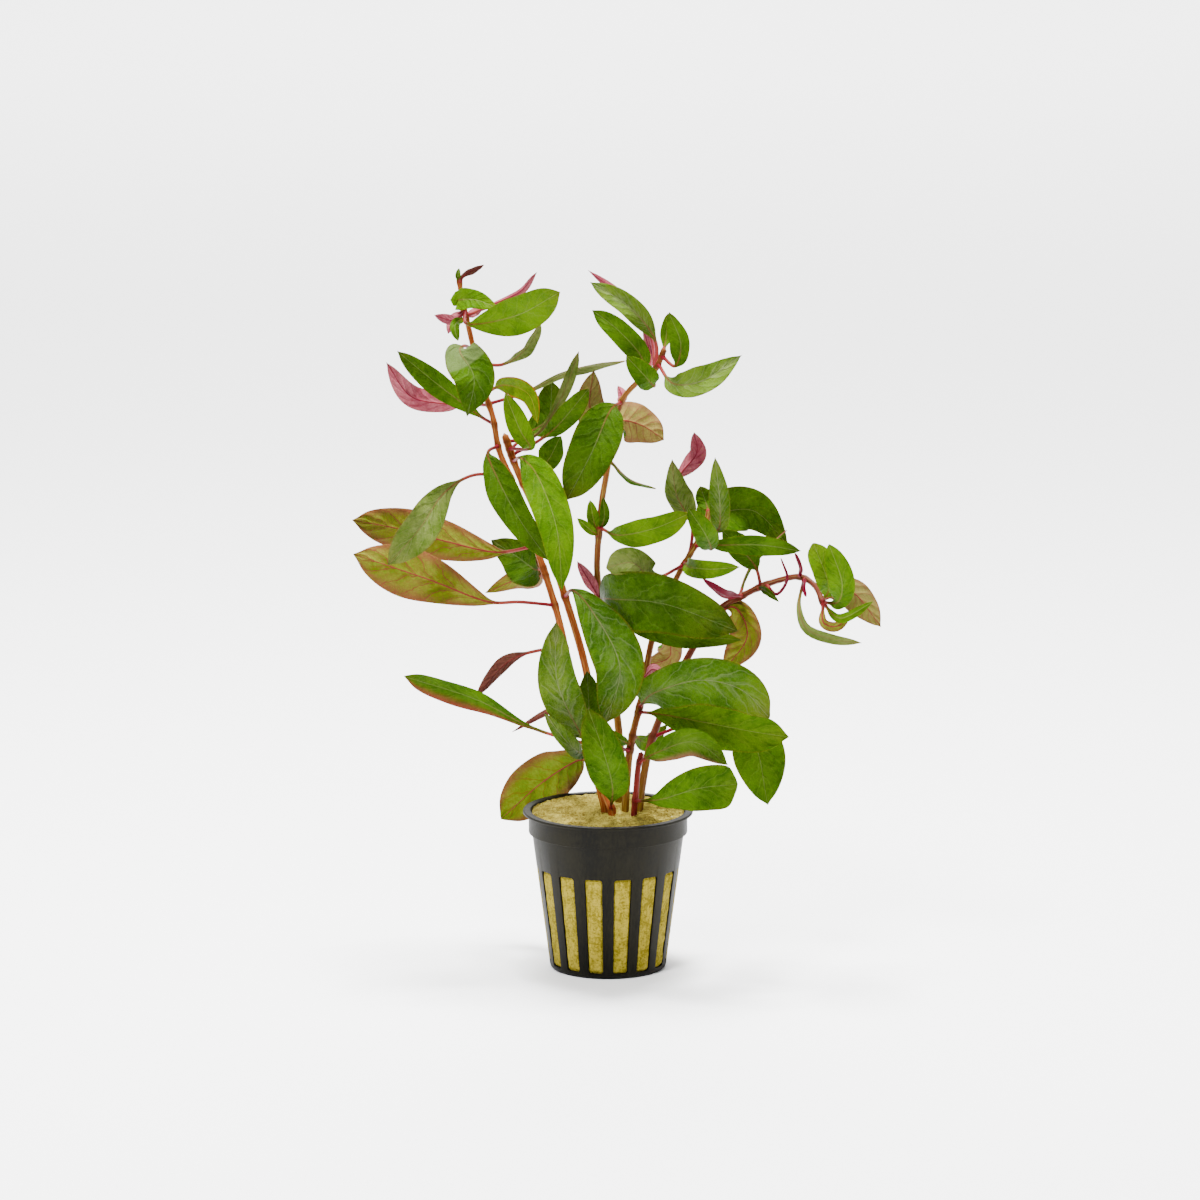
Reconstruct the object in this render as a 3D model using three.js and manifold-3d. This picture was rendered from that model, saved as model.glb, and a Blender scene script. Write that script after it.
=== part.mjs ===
// A potted ludwigia, an aquarium stem plant in its net pot.
// Millimetres, +Z up, X to the viewer's right, Y away from the viewer.
// The origin is the centre of the pot's underside.
import * as THREE from "three";
import { mergeVertices } from "three/addons/utils/BufferGeometryUtils.js";
import Module from "manifold-3d";

// Net pot, a standard 55 mm aquarium size
const POT_HEIGHT = 52;
const POT_RIM_RADIUS = 27.5;
const POT_RIM_THICKNESS = 0.9;
const POT_COLLAR_RADIUS = 25.7;
const POT_COLLAR_HEIGHT = 7.2;
const POT_TOP_RADIUS = 24.6;
const POT_FOOT_RADIUS = 18.75;
const POT_FOOT_ROUNDING = 1.3;
const POT_WALL = 0.8;
const POT_FLOOR = 1.4;
const POT_FACETS = 30;
const SLOT_COUNT = 15;
const SLOT_DEGREES = 14.6;
const SLOT_FOOT_Z = 1.9;
const SLOT_HEAD_Z = 33.9;
const DRAIN_COUNT = 5;
const DRAIN_RADIUS = 2.5;
const DRAIN_CIRCLE_RADIUS = 11;

// Gap left between pieces that touch, and the size of detail that a cut may leave
const GAP = 0.3;
const SMALLEST_DETAIL = 0.04;

// Rockwool plug
const WOOL_EDGE_Z = 50.9;
const WOOL_CROWN_Z = 52.1;
const WOOL_FACETS = 18;

// Leaf and stem sections
const PETIOLE_RADIUS = 0.55;
const BLADE_HALF_THICKNESS = 0.24;
const TIP_HALF_WIDTH = 0.2;
const WIDE_LEAF = 12.2;
const STEM_SIDES = 6;
const STEM_BURIED_Z = 36;
const STEM_STEPS_PER_PLACE = 1.1;
const STEM_SEARCH_STEPS = 200;

// The plant is laid out on the photograph. A place is [u, v, d]: u and v in the photograph's
// 1200 x 1200 pixels, and d in steps of depth behind the pot's axis, along the eye's sight line.
const PHOTO_MIDDLE = 600;
const MM_PER_PIXEL = 0.32136;
const EYE_DISTANCE = 2000;
const EYE_PITCH = THREE.MathUtils.degToRad(11);
const AIM = new THREE.Vector3(-2.6, 0, 121);
const DEPTH_STEP = 2.1;

// Above the wool the shoots on the left lean more and more away from the viewer, and those in
// the middle lean forward: half a wave across the photograph
const SWAY = 20;
const SWAY_START_V = 800;
const SWAY_FULL_V = 300;
const SWAY_TURN_U = 570;
const SWAY_HALF_WAVE = 210;

const FORWARD = new THREE.Vector3(0, Math.cos(EYE_PITCH), -Math.sin(EYE_PITCH));
const UPWARD = new THREE.Vector3(0, Math.sin(EYE_PITCH), Math.cos(EYE_PITCH));
const RIGHTWARD = new THREE.Vector3(1, 0, 0);
const EYE = AIM.clone().addScaledVector(FORWARD, -EYE_DISTANCE);

// Stems: places from the wool upwards, and the radius at the foot and at the tip
const STEMS = {
  left: {
    places: [[605, 812, -3], [597, 780, -3], [575, 700, -3], [560, 625, -2], [547, 580, -1], [515, 488, 0],
      [499, 450, 0], [493, 418, 0], [484, 390, 1], [475, 355, 2], [468, 325, 2], [462, 300, 2],
      [459, 278, 2]],
    radii: [1.35, 0.8],
    colour: 0xb4602a,
  },
  left_twin: {
    places: [[612, 813, -4.5], [603, 790, -3], [587, 675, 2], [566, 600, 3], [535, 510, 4], [517, 470, 4],
      [505, 436, 3.6]],
    radii: [1.3, 1.1],
    colour: 0xb4602a,
  },
  middle: {
    places: [[619, 805, 4], [621, 770, 5], [618, 725, 6], [609, 660, 6], [601, 605, 5], [597, 570, 4],
      [599, 530, 4], [602, 500, 4], [608, 465, 4], [612, 430, 4], [622, 400, 3], [640, 380, 2],
      [656, 368, 1], [664, 350, 1]],
    radii: [1.35, 0.8],
    colour: 0xa85a2a,
  },
  right: {
    places: [[625, 812, -2.5], [627, 780, -2.5], [631, 742, -2], [641, 700, 0], [652, 640, 2],
      [665, 605, 2], [680, 571, 1], [694, 548, 0], [704, 530, 0], [709, 512, 1]],
    radii: [1.3, 0.8],
    colour: 0x96781e,
  },
  arching: {
    places: [[639, 812, -2], [643, 780, -1], [650, 745, 2], [661, 715, 5], [676, 680, 7], [705, 628, 8],
      [722, 607, 6], [740, 597, 4], [760, 587, 2], [780, 580, 0], [800, 577, -3], [815, 586, -6],
      [823, 603, -8]],
    radii: [1.35, 0.9],
    colour: 0x96641e,
  },
  short: {
    places: [[634, 813, -4.6], [636, 790, -5.4], [638, 768, -5.8], [641, 754, -6]],
    radii: [1.1, 0.9],
    colour: 0x8c2a2a,
  },
};

// Leaves, in order along each stem. Each has its places from the stem to the tip, the share of
// that length that is petiole, the blade's greatest width in mm, the roll about the midrib in
// degrees (0 shows the upper side to the viewer, 180 the underside), and how far each half
// is raised along the midrib (fold) and turned up further towards its edge (curl), in degrees.
// The taper is how sharply the blade narrows to its base and to its tip: below 1 is rounded, 1 is
// straight, and the blade is widest nearer the end that narrows less.
const LEAVES = [
  { on: "left", places: [[466, 312, 0], [468, 324, -4], [515, 316, -8], [560, 292, -11]],
    petiole: 0.22, width: 13, roll: 8, fold: 10, curl: 12, taper: [1.05, 0.75] },
  { on: "left", places: [[462, 303, 1], [459, 300, -2], [475, 300, -4], [497, 308, -5]],
    petiole: 0.2, width: 7.2, roll: -10, fold: 8, curl: 10, taper: [0.45, 0.75] },
  { on: "left", places: [[482, 360, 2], [500, 365, 2], [524, 350, 1], [541, 323, 0]],
    petiole: 0.3, width: 6.2, roll: 55, fold: 15, curl: 10, taper: [1, 0.9] },
  { on: "left", places: [[473, 349, -1], [464, 346, -5], [460, 352, -9], [474, 378, -12],
      [467, 417, -12]],
    petiole: 0.38, width: 14.5, roll: 0, fold: 12, curl: 12, taper: [0.9, 1.05] },
  { on: "left", places: [[493, 425, 0], [480, 416, 3], [440, 386, 4], [397, 351, 2]],
    petiole: 0.16, width: 8, roll: -12, fold: 12, curl: 10, taper: [1.1, 0.9] },
  { on: "left", places: [[490, 406, 1], [465, 404, 9], [440, 403, 12], [412, 397, 12], [386, 362, 10]],
    petiole: 0.38, width: 7.8, roll: 165, fold: 10, curl: 15, taper: [0.8, 1] },
  { on: "left", places: [[489, 388, -1], [506, 385, -5], [530, 396, -9], [538, 424, -11]],
    petiole: 0.2, width: 7, roll: 20, fold: 10, curl: 25, taper: [0.8, 0.9] },
  { on: "left_twin", places: [[506, 450, 2], [530, 447, -3], [521, 432, -6], [505, 393, -8]],
    petiole: 0.4, width: 7.2, roll: 5, fold: 10, curl: 15, taper: [0.9, 0.8] },
  { on: "left", places: [[492, 406, 2], [526, 392, 8], [568, 372, 12], [626, 361, 12]],
    petiole: 0.25, width: 5.6, roll: 66, fold: 10, curl: 10, taper: [1, 1] },
  { on: "left_twin", places: [[509, 450, 5], [527, 434, 11], [548, 418, 16], [552, 381, 17]],
    petiole: 0.4, width: 11, roll: -10, fold: 8, curl: 10, taper: [0.7, 0.7] },
  { on: "left_twin", places: [[511, 455, 5], [535, 443, 6], [556, 427, 5], [589, 388, 3]],
    petiole: 0.3, width: 7.8, roll: 15, fold: 10, curl: 10, taper: [0.9, 0.8] },
  { on: "left", places: [[498, 446, -1], [488, 453, -5], [496, 475, -9], [520, 520, -13],
      [550, 562, -13]],
    petiole: 0.17, width: 11, roll: 14, fold: 14, curl: 10, taper: [0.9, 0.9] },
  { on: "left_twin", places: [[510, 462, 2], [523, 459, -5], [538, 477, -10], [557, 530, -14],
      [562, 591, -15]],
    petiole: 0.2, width: 12.6, roll: 0, fold: 10, curl: 12, taper: [1.1, 0.9] },
  { on: "left_twin", places: [[524, 484, 4], [533, 475, 5], [547, 462, 6], [561, 436, 6]],
    petiole: 0.3, width: 8.5, roll: -15, fold: 10, curl: 10, taper: [0.8, 0.8] },
  { on: "left", places: [[510, 478, -1], [474, 475, -6], [444, 493, -10], [420, 528, -13],
      [388, 565, -12]],
    petiole: 0.34, width: 12, roll: -10, fold: 10, curl: 15, taper: [1.2, 0.75] },
  { on: "left", places: [[534, 548, 0], [495, 552, 5], [445, 541, 8], [400, 529, 8], [352, 520, 5]],
    petiole: 0.2, width: 14.5, roll: 175, fold: 8, curl: 10, taper: [1.1, 0.85] },
  { on: "left", places: [[553, 605, -3], [520, 602, -6], [490, 602, -6], [430, 580, -7],
      [353, 554, -4]],
    petiole: 0.28, width: 16.5, roll: 178, fold: 8, curl: 10, taper: [1.3, 0.85] },
  { on: "left", places: [[543, 570, 2], [534, 569, 7], [516, 556, 13], [491, 540, 14]],
    petiole: 0.18, width: 15, roll: 5, fold: 8, curl: 10, taper: [0.55, 0.75] },
  { on: "left", places: [[564, 648, -2], [536, 651, 0], [510, 660, 0], [475, 697, -2]],
    petiole: 0.4, width: 5.2, roll: 150, fold: 15, curl: 10, taper: [0.9, 1] },
  { on: "left_twin", places: [[565, 596, 1], [574, 591, -4], [590, 608, -8], [620, 668, -13],
      [604, 725, -14]],
    petiole: 0.18, width: 16.5, roll: 0, fold: 10, curl: 12, taper: [1.4, 0.85] },
  { on: "left", places: [[586, 742, -3], [579, 731, -9], [557, 680, -15], [556, 622, -14]],
    petiole: 0.14, width: 13, roll: 5, fold: 10, curl: 12, taper: [0.85, 0.75] },
  { on: "left_twin", places: [[598, 752, -1], [592, 738, -3], [589, 708, -6], [587, 671, -7]],
    petiole: 0.26, width: 9, roll: 20, fold: 12, curl: 12, taper: [0.8, 0.8] },
  { on: "left_twin", places: [[616, 803, -10], [612, 783, -14], [603, 750, -17], [588, 708, -17]],
    petiole: 0.1, width: 14, roll: -5, fold: 12, curl: 12, taper: [1.4, 0.8] },
  { on: "right", places: [[628, 752, -4], [605, 747, -9], [575, 741, -9], [530, 727, -7],
      [478, 700, -6], [404, 676, -6]],
    petiole: 0.42, width: 9.5, roll: -30, fold: 12, curl: 12, taper: [1.7, 0.75] },
  { on: "left", places: [[590, 757, -1], [574, 762, 7], [540, 784, 13], [501, 819, 15]],
    petiole: 0.16, width: 17.5, roll: 172, fold: 6, curl: 8, taper: [1.2, 0.65] },
  { on: "middle", places: [[618, 404, 2], [610, 411, -2], [592, 452, -8], [567, 500, -10]],
    petiole: 0.1, width: 16, roll: 5, fold: 12, curl: 15, taper: [0.8, 0.8] },
  { on: "middle", places: [[613, 426, 6], [622, 421, 8], [643, 426, 11], [664, 440, 12]],
    petiole: 0.15, width: 13.5, roll: 172, fold: 8, curl: 10, taper: [0.6, 0.8] },
  { on: "middle", places: [[611, 442, 6], [598, 430, 9], [590, 405, 11], [594, 370, 11]],
    petiole: 0.15, width: 11, roll: 168, fold: 8, curl: 10, taper: [0.7, 0.9] },
  { on: "middle", places: [[657, 366, 1], [655, 340, 3], [630, 308, 1], [590, 282, -2]],
    petiole: 0.22, width: 7.5, roll: 10, fold: 12, curl: 10, taper: [0.9, 0.9] },
  { on: "middle", places: [[644, 377, 2], [641, 356, -3], [618, 330, -6], [592, 310, -7]],
    petiole: 0.16, width: 8, roll: -5, fold: 12, curl: 10, taper: [0.9, 0.8] },
  { on: "middle", places: [[662, 356, 1], [675, 366, -1], [681, 345, -2], [669, 312, -3]],
    petiole: 0.24, width: 7.5, roll: -20, fold: 14, curl: 10, taper: [0.8, 0.9] },
  { on: "middle", places: [[650, 372, 1], [654, 386, -4], [644, 375, -8], [626, 356, -9]],
    petiole: 0.42, width: 7.8, roll: 0, fold: 8, curl: 10, taper: [0.7, 0.8] },
  { on: "middle", places: [[663, 372, -1], [674, 384, -4], [702, 381, -7], [742, 355, -8]],
    petiole: 0.18, width: 9.5, roll: -15, fold: 12, curl: 10, taper: [0.8, 1] },
  { on: "middle", places: [[602, 531, 2], [620, 535, -3], [655, 528, -5], [690, 513, -7]],
    petiole: 0.2, width: 10, roll: 20, fold: 12, curl: 10, taper: [1.2, 0.8] },
  { on: "middle", places: [[602, 603, 3], [612, 599, -6], [665, 604, -11], [738, 631, -13]],
    petiole: 0.08, width: 20, roll: 10, fold: 10, curl: 12, taper: [0.9, 0.75] },
  { on: "middle", places: [[604, 613, 3], [626, 616, -3], [668, 632, -6], [742, 640, -10]],
    petiole: 0.16, width: 9, roll: 25, fold: 10, curl: 10, taper: [0.9, 0.8] },
  { on: "right", places: [[677, 568, -1], [652, 578, -5], [632, 563, -7], [606, 568, -8.5]],
    petiole: 0.3, width: 10.4, roll: 27, fold: 12, curl: 15, taper: [0.7, 0.5] },
  { on: "right", places: [[690, 556, 0], [692, 525, 1], [677, 495, 1], [672, 459, 1]],
    petiole: 0.35, width: 9.6, roll: 160, fold: 18, curl: 10, taper: [0.5, 1] },
  { on: "right", places: [[698, 541, 0], [688, 505, 6], [680, 478, 8], [697, 453, 8], [694, 432, 7]],
    petiole: 0.56, width: 6.2, roll: 160, fold: 12, curl: 10, taper: [0.8, 0.9] },
  { on: "right", places: [[700, 538, 0], [711, 549, -6], [704, 532, -11], [688, 508, -12]],
    petiole: 0.32, width: 7.8, roll: 0, fold: 8, curl: 10, taper: [0.9, 0.8] },
  { on: "right", places: [[706, 524, 0], [718, 530, -4], [720, 505, -7], [715, 457, -7]],
    petiole: 0.18, width: 7, roll: -10, fold: 12, curl: 10, taper: [0.8, 0.9] },
  { on: "right", places: [[704, 530, 0], [714, 516, 8], [754, 511, 11], [789, 546, 9]],
    petiole: 0.14, width: 15.5, roll: -5, fold: 10, curl: 12, taper: [0.55, 0.9] },
  { on: "arching", places: [[759, 583, 2], [756, 568, 1], [742, 550, 1], [722, 530, 1]],
    petiole: 0.25, width: 8.5, roll: 5, fold: 10, curl: 10, taper: [0.8, 0.8] },
  { on: "right", places: [[696, 546, 0], [722, 545, -5], [762, 545, -9], [801, 551, -10]],
    petiole: 0.16, width: 7, roll: 15, fold: 10, curl: 12, taper: [0.9, 0.8] },
  { on: "right", places: [[684, 565, 0], [690, 567, -5], [712, 569, -10], [740, 567, -11]],
    petiole: 0.1, width: 6.8, roll: 20, fold: 10, curl: 10, taper: [0.8, 0.8] },
  { on: "arching", places: [[717, 613, 7], [735, 608, 4], [747, 635, 2], [722, 672, 0]],
    petiole: 0.15, width: 11.5, roll: 165, fold: 10, curl: 12, taper: [0.7, 0.9] },
  { on: "right", places: [[655, 636, 3], [668, 640, 8], [668, 658, 11], [642, 666, 12]],
    petiole: 0.15, width: 9, roll: 165, fold: 8, curl: 12, taper: [0.7, 0.8] },
  { on: "right", places: [[641, 707, -2], [656, 692, -8], [702, 680, -11], [742, 690, -14],
      [770, 718, -15]],
    petiole: 0.06, width: 16.5, roll: 8, fold: 10, curl: 12, taper: [0.9, 0.65] },
  { on: "right", places: [[641, 713, -2], [660, 714, -4], [704, 722, -5.5], [750, 731, -7],
      [789, 737, -8]],
    petiole: 0.1, width: 16, roll: 20, fold: 10, curl: 12, taper: [1.1, 0.75] },
  { on: "arching", places: [[655, 738, 3], [700, 722, 2], [750, 737, -3], [768, 805, -5]],
    petiole: 0.42, width: 17, roll: 0, fold: 10, curl: 12, taper: [0.8, 0.85] },
];

// Small leaves and buds of the shoot tips and nodes, grown together with their stem
const LEAFLETS = [
  { on: "left", places: [[460, 282, 2], [464, 275, 1], [484, 265, 0]],
    width: 2.6, roll: 40, taper: [0.9, 0.9] },
  { on: "left", places: [[459, 281, 2], [458, 275, 1], [459, 268, 1]],
    width: 1.8, roll: 0, taper: [0.9, 0.9] },
  { on: "left", places: [[465, 312, 2], [452, 320, -1], [434, 315, -2]],
    width: 3.6, roll: 165, taper: [0.9, 0.9] },
  { on: "left", places: [[463, 310, 2], [453, 319, 1], [448, 334, 0]],
    width: 3, roll: 165, taper: [0.9, 0.9] },
  { on: "left", places: [[463, 318, 2], [455, 326, -2], [458, 341, -3]],
    width: 3.4, roll: 10, taper: [0.9, 0.7] },
  { on: "left", places: [[465, 318, 3], [474, 312, 4], [484, 306, 4]],
    width: 3.2, roll: 165, taper: [0.9, 0.9] },
  { on: "left", places: [[464, 316, 3], [490, 306, 4], [520, 292, 3], [537, 272, 1]],
    width: 2.6, roll: 165, taper: [1.2, 0.9] },
  { on: "left_twin", places: [[588, 700, 2], [560, 706, 6], [512, 732, 8]],
    width: 2.4, roll: 160, taper: [0.9, 0.9] },
  { on: "left_twin", places: [[507, 442, 3.6], [535, 436, 8], [560, 400, 10], [579, 351, 9]],
    width: 4.2, roll: 20, taper: [2, 0.9] },
  { on: "left", places: [[546, 576, 0], [534, 577, 8], [510, 582, 16], [485, 593, 18]],
    width: 8, roll: 172, taper: [0.75, 0.8] },
  { on: "left", places: [[587, 741, -3], [582, 753, -9], [566, 741, -15], [544, 713, -16]],
    width: 6.2, roll: 20, taper: [1.2, 0.8] },
  { on: "middle", places: [[599, 535, 4], [594, 522, 3], [590, 500, 2]],
    width: 4.2, roll: 0, taper: [0.9, 0.9] },
  { on: "middle", places: [[598, 532, 4], [604, 518, 3], [603, 497, 3]],
    width: 3.6, roll: 20, taper: [0.9, 0.9] },
  { on: "middle", places: [[597, 538, 3], [587, 527, 1], [577, 518, 0]],
    width: 3.2, roll: 0, taper: [0.9, 0.9] },
  { on: "middle", places: [[609, 462, 3], [630, 480, -1], [656, 489, -3]],
    width: 3.2, roll: 70, taper: [0.9, 0.9] },
  { on: "middle", places: [[664, 352, 1], [666, 338, 3], [668, 313, 4]],
    width: 4.2, roll: 0, taper: [0.9, 0.9] },
  { on: "middle", places: [[654, 368, 3], [650, 352, 5], [643, 328, 6]],
    width: 3, roll: 165, taper: [0.9, 0.9] },
  { on: "middle", places: [[657, 362, 3], [650, 335, 6], [625, 300, 5], [588, 270, 3]],
    width: 3.2, roll: 165, taper: [1.2, 0.9] },
  { on: "middle", places: [[600, 600, 5], [590, 582, 2], [577, 561, 1]],
    width: 4.2, roll: 165, taper: [0.9, 0.9] },
  { on: "middle", places: [[618, 405, 4], [622, 396, 6], [618, 386, 8]],
    width: 3.4, roll: 165, taper: [0.9, 0.9] },
  { on: "right", places: [[709, 513, 1], [706, 503, 3], [700, 486, 4]],
    width: 6.4, roll: 0, taper: [0.7, 0.8] },
  { on: "right", places: [[645, 678, 0], [655, 670, -3], [671, 682, -4]],
    width: 4.6, roll: 150, taper: [0.9, 0.9] },
  { on: "right", places: [[631, 745, -3], [619, 739, -5], [605, 729, -6]],
    width: 3.6, roll: 0, taper: [0.9, 0.9] },
  { on: "right", places: [[634, 735, -1], [650, 741, 6], [668, 724, 8]],
    width: 6, roll: 0, taper: [0.9, 0.9] },
  { on: "arching", places: [[740, 596, 3], [724, 594, -2], [702, 578, -4]],
    width: 3.6, roll: 150, taper: [0.9, 0.9] },
  { on: "arching", places: [[757, 588, 2], [768, 592, -2], [779, 602, -3]],
    width: 2.6, roll: 30, taper: [0.9, 0.9] },
  { on: "arching", places: [[738, 597, 4], [752, 565, 8], [787, 530, 8]],
    width: 1.8, roll: 60, taper: [0.9, 0.9] },
  { on: "arching", places: [[766, 586, 1], [777, 594, -3], [787, 580, -5], [781, 558, -7]],
    width: 0.9, roll: 30, taper: [0.3, 0.3] },
  { on: "arching", places: [[799, 577, -3], [800, 566, -7], [795, 553, -8]],
    width: 1.5, roll: 30, taper: [0.3, 0.3] },
  { on: "arching", places: [[804, 579, -4], [804, 588, -7], [806, 597, -8]],
    width: 1.4, roll: 30, taper: [0.3, 0.3] },
  { on: "arching", places: [[823, 601, -8], [829, 588, -12], [824, 570, -15], [813, 543, -14]],
    width: 8.8, roll: 10, taper: [0.7, 0.45] },
  { on: "arching", places: [[823, 602, -8], [838, 602, -13], [842, 582, -17], [829, 544, -18]],
    width: 8.8, roll: -15, taper: [0.9, 0.6] },
  { on: "arching", places: [[823, 602, -7], [851, 592, -5], [881, 627, -6]],
    width: 11, roll: 165, taper: [0.7, 0.9] },
  { on: "arching", places: [[823, 603, -9], [840, 618, -12], [874, 601, -13]],
    width: 3.4, roll: 20, taper: [0.9, 0.9] },
  { on: "arching", places: [[822, 606, -8], [824, 623, -10], [837, 626, -11], [852, 611, -11]],
    width: 3.6, roll: 20, taper: [0.9, 0.9] },
  { on: "arching", places: [[802, 578, -4], [799, 608, -8], [806, 628, -9], [832, 639, -10],
      [862, 643, -10]],
    width: 3.6, roll: 10, taper: [1.6, 0.9] },
  { on: "short", places: [[638, 762, -6], [658, 752, -10], [694, 742, -12], [728, 765, -12]],
    width: 9.5, roll: 10, taper: [0.8, 0.8] },
  { on: "short", places: [[635, 804, -6], [662, 799, -13], [700, 788, -16], [738, 784, -15]],
    width: 16, roll: 8, taper: [1.9, 0.5] },
];

const LEAFLET_PETIOLE = 0.12;
const LEAFLET_FOLD = 12;
const LEAFLET_CURL = 10;

// Where the sections of a petiole and of a blade lie, as shares of each one's length
const PETIOLE_STATIONS = [0, 0.5];
const BLADE_STATIONS = [0, 0.11, 0.28, 0.47, 0.67, 0.86, 1];
const LEAFLET_PETIOLE_STATIONS = [0];
const LEAFLET_STATIONS = [0.05, 0.28, 0.6, 1];

const wasm = await Module();
wasm.setup();

// The point on the sight line through pixel (u, v), at its depth behind the pot's axis
function place([u, v, d]) {
  const height = (SWAY_START_V - v) / (SWAY_START_V - SWAY_FULL_V);
  const wave = Math.sin((Math.PI * (SWAY_TURN_U - u)) / SWAY_HALF_WAVE);
  const y = d * DEPTH_STEP + SWAY * Math.max(height, 0) * wave;
  const sight = FORWARD.clone()
    .addScaledVector(RIGHTWARD, ((u - PHOTO_MIDDLE) * MM_PER_PIXEL) / EYE_DISTANCE)
    .addScaledVector(UPWARD, ((PHOTO_MIDDLE - v) * MM_PER_PIXEL) / EYE_DISTANCE);
  return EYE.clone().addScaledVector(sight, (y - EYE.y) / sight.y);
}

function solidOf(geometry) {
  const bare = geometry.clone();
  bare.deleteAttribute("normal");
  bare.deleteAttribute("uv");
  const merged = mergeVertices(bare, 1e-5);
  return new wasm.Manifold(new wasm.Mesh({
    numProp: 3,
    vertProperties: new Float32Array(merged.getAttribute("position").array),
    triVerts: new Uint32Array(merged.index.array),
  }));
}

function geometryOf(solid) {
  const mesh = solid.simplify(SMALLEST_DETAIL).getMesh();
  const geometry = new THREE.BufferGeometry();
  geometry.setAttribute("position", new THREE.BufferAttribute(mesh.vertProperties, 3));
  geometry.setIndex(new THREE.BufferAttribute(mesh.triVerts, 1));
  geometry.computeVertexNormals();
  return geometry;
}

// A closed skin through rings of points, with a fan over each end. The two halves of a ring are
// split along mirrored diagonals, so the two faces of a twisted thin plate don't cross.
function skin(rings) {
  const sides = rings[0].length;
  const points = rings.flat();
  const faces = [];
  for (let ring = 0; ring + 1 < rings.length; ring += 1) {
    for (let side = 0; side < sides; side += 1) {
      const near = ring * sides + side;
      const next = ring * sides + ((side + 1) % sides);
      if (side < sides / 2) {
        faces.push(near, next + sides, next, near, near + sides, next + sides);
      } else {
        faces.push(near, near + sides, next, next, near + sides, next + sides);
      }
    }
  }
  const last = (rings.length - 1) * sides;
  for (let side = 1; side + 1 < sides; side += 1) {
    faces.push(0, side, side + 1);
    faces.push(last, last + side + 1, last + side);
  }
  const geometry = new THREE.BufferGeometry().setFromPoints(points);
  geometry.setIndex(faces);
  return geometry;
}

// Directions across a spine at a tangent: out of the upper side, and to the blade's side
function across(tangent, roll) {
  const toEye = FORWARD.clone().negate();
  const facing = toEye.addScaledVector(tangent, -toEye.dot(tangent)).normalize();
  const beside = new THREE.Vector3().crossVectors(tangent, facing);
  const angle = THREE.MathUtils.degToRad(roll);
  const upper = facing.clone().multiplyScalar(Math.cos(angle)).addScaledVector(beside, Math.sin(angle));
  return { upper, side: new THREE.Vector3().crossVectors(tangent, upper) };
}

// Half the blade's width as a share of its greatest, at a share of the blade's length
function outline(share, [base, tip]) {
  const widestAt = base / (base + tip);
  return (share / widestAt) ** base * ((1 - share) / (1 - widestAt)) ** tip;
}

// The path of a stem's middle, from inside the wool to its tip
function stemPath({ places }) {
  const foot = place(places[0]);
  const buried = new THREE.Vector3(foot.x, foot.y, STEM_BURIED_Z);
  return new THREE.CatmullRomCurve3([buried, ...places.map(place)], false, "centripetal");
}

// A leaf's path, which starts in the middle of its stem at the point nearest its first place
function leafPath({ on, places }) {
  const points = places.map(place);
  const stem = stemPath(STEMS[on]).getSpacedPoints(STEM_SEARCH_STEPS);
  const gaps = stem.map((point) => point.distanceTo(points[0]));
  points[0] = stem[gaps.indexOf(Math.min(...gaps))];
  return new THREE.CatmullRomCurve3(points, false, "centripetal");
}

// A leaf: an oval section carried along its path, round on the petiole, and flat, folded and
// curled up at its edges on the blade
function leafSolid(leaf, petioleStations, bladeStations) {
  const { petiole, width, roll, fold, curl, taper } = leaf;
  const spine = leafPath(leaf);
  const sides = width > WIDE_LEAF ? 6 : 4;
  const stations = petioleStations.map((share) => [share * petiole, 0]);
  bladeStations.forEach((share) => {
    stations.push([petiole + share * (1 - petiole), outline(share, taper)]);
  });
  const rings = stations.map(([share, spread]) => {
    const centre = spine.getPointAt(share);
    const { upper, side } = across(spine.getTangentAt(share), roll);
    const foot = share <= petiole ? PETIOLE_RADIUS : TIP_HALF_WIDTH;
    const halfWidth = Math.max(foot, (spread * width) / 2);
    const halfThickness = share <= petiole ? PETIOLE_RADIUS : BLADE_HALF_THICKNESS;
    const ring = [];
    for (let corner = 0; corner < sides; corner += 1) {
      const angle = (2 * Math.PI * corner) / sides;
      const reach = Math.cos(angle) * halfWidth;
      const lift = THREE.MathUtils.degToRad(spread * (fold + (curl * Math.abs(Math.cos(angle))) / 2));
      ring.push(centre.clone()
        .addScaledVector(side, reach * Math.cos(lift))
        .addScaledVector(upper, Math.abs(reach) * Math.sin(lift) + Math.sin(angle) * halfThickness));
    }
    return ring;
  });
  return solidOf(skin(rings));
}

function leafletSolid(leaflet) {
  const whole = { petiole: LEAFLET_PETIOLE, fold: LEAFLET_FOLD, curl: LEAFLET_CURL, ...leaflet };
  return leafSolid(whole, LEAFLET_PETIOLE_STATIONS, LEAFLET_STATIONS);
}

// A round rod along the first share of a path, with its radius at each share of the path
function rodSolid(path, steps, length, radiusAt) {
  const rings = [];
  for (let step = 0; step <= steps; step += 1) {
    const share = (length * step) / steps;
    const centre = path.getPointAt(share);
    const { upper, side } = across(path.getTangentAt(share), 0);
    const ring = [];
    for (let corner = 0; corner < STEM_SIDES; corner += 1) {
      const angle = (2 * Math.PI * corner) / STEM_SIDES;
      ring.push(centre.clone()
        .addScaledVector(side, Math.cos(angle) * radiusAt(share))
        .addScaledVector(upper, Math.sin(angle) * radiusAt(share)));
    }
    rings.push(ring);
  }
  return solidOf(skin(rings));
}

// A stem, thinning from foot to tip, and grown by a margin
function stemSolid(stem, margin) {
  const steps = Math.round(stem.places.length * STEM_STEPS_PER_PLACE);
  const [foot, tip] = stem.radii;
  return rodSolid(stemPath(stem), steps, 1, (share) => THREE.MathUtils.lerp(foot, tip, share) + margin);
}

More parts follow.
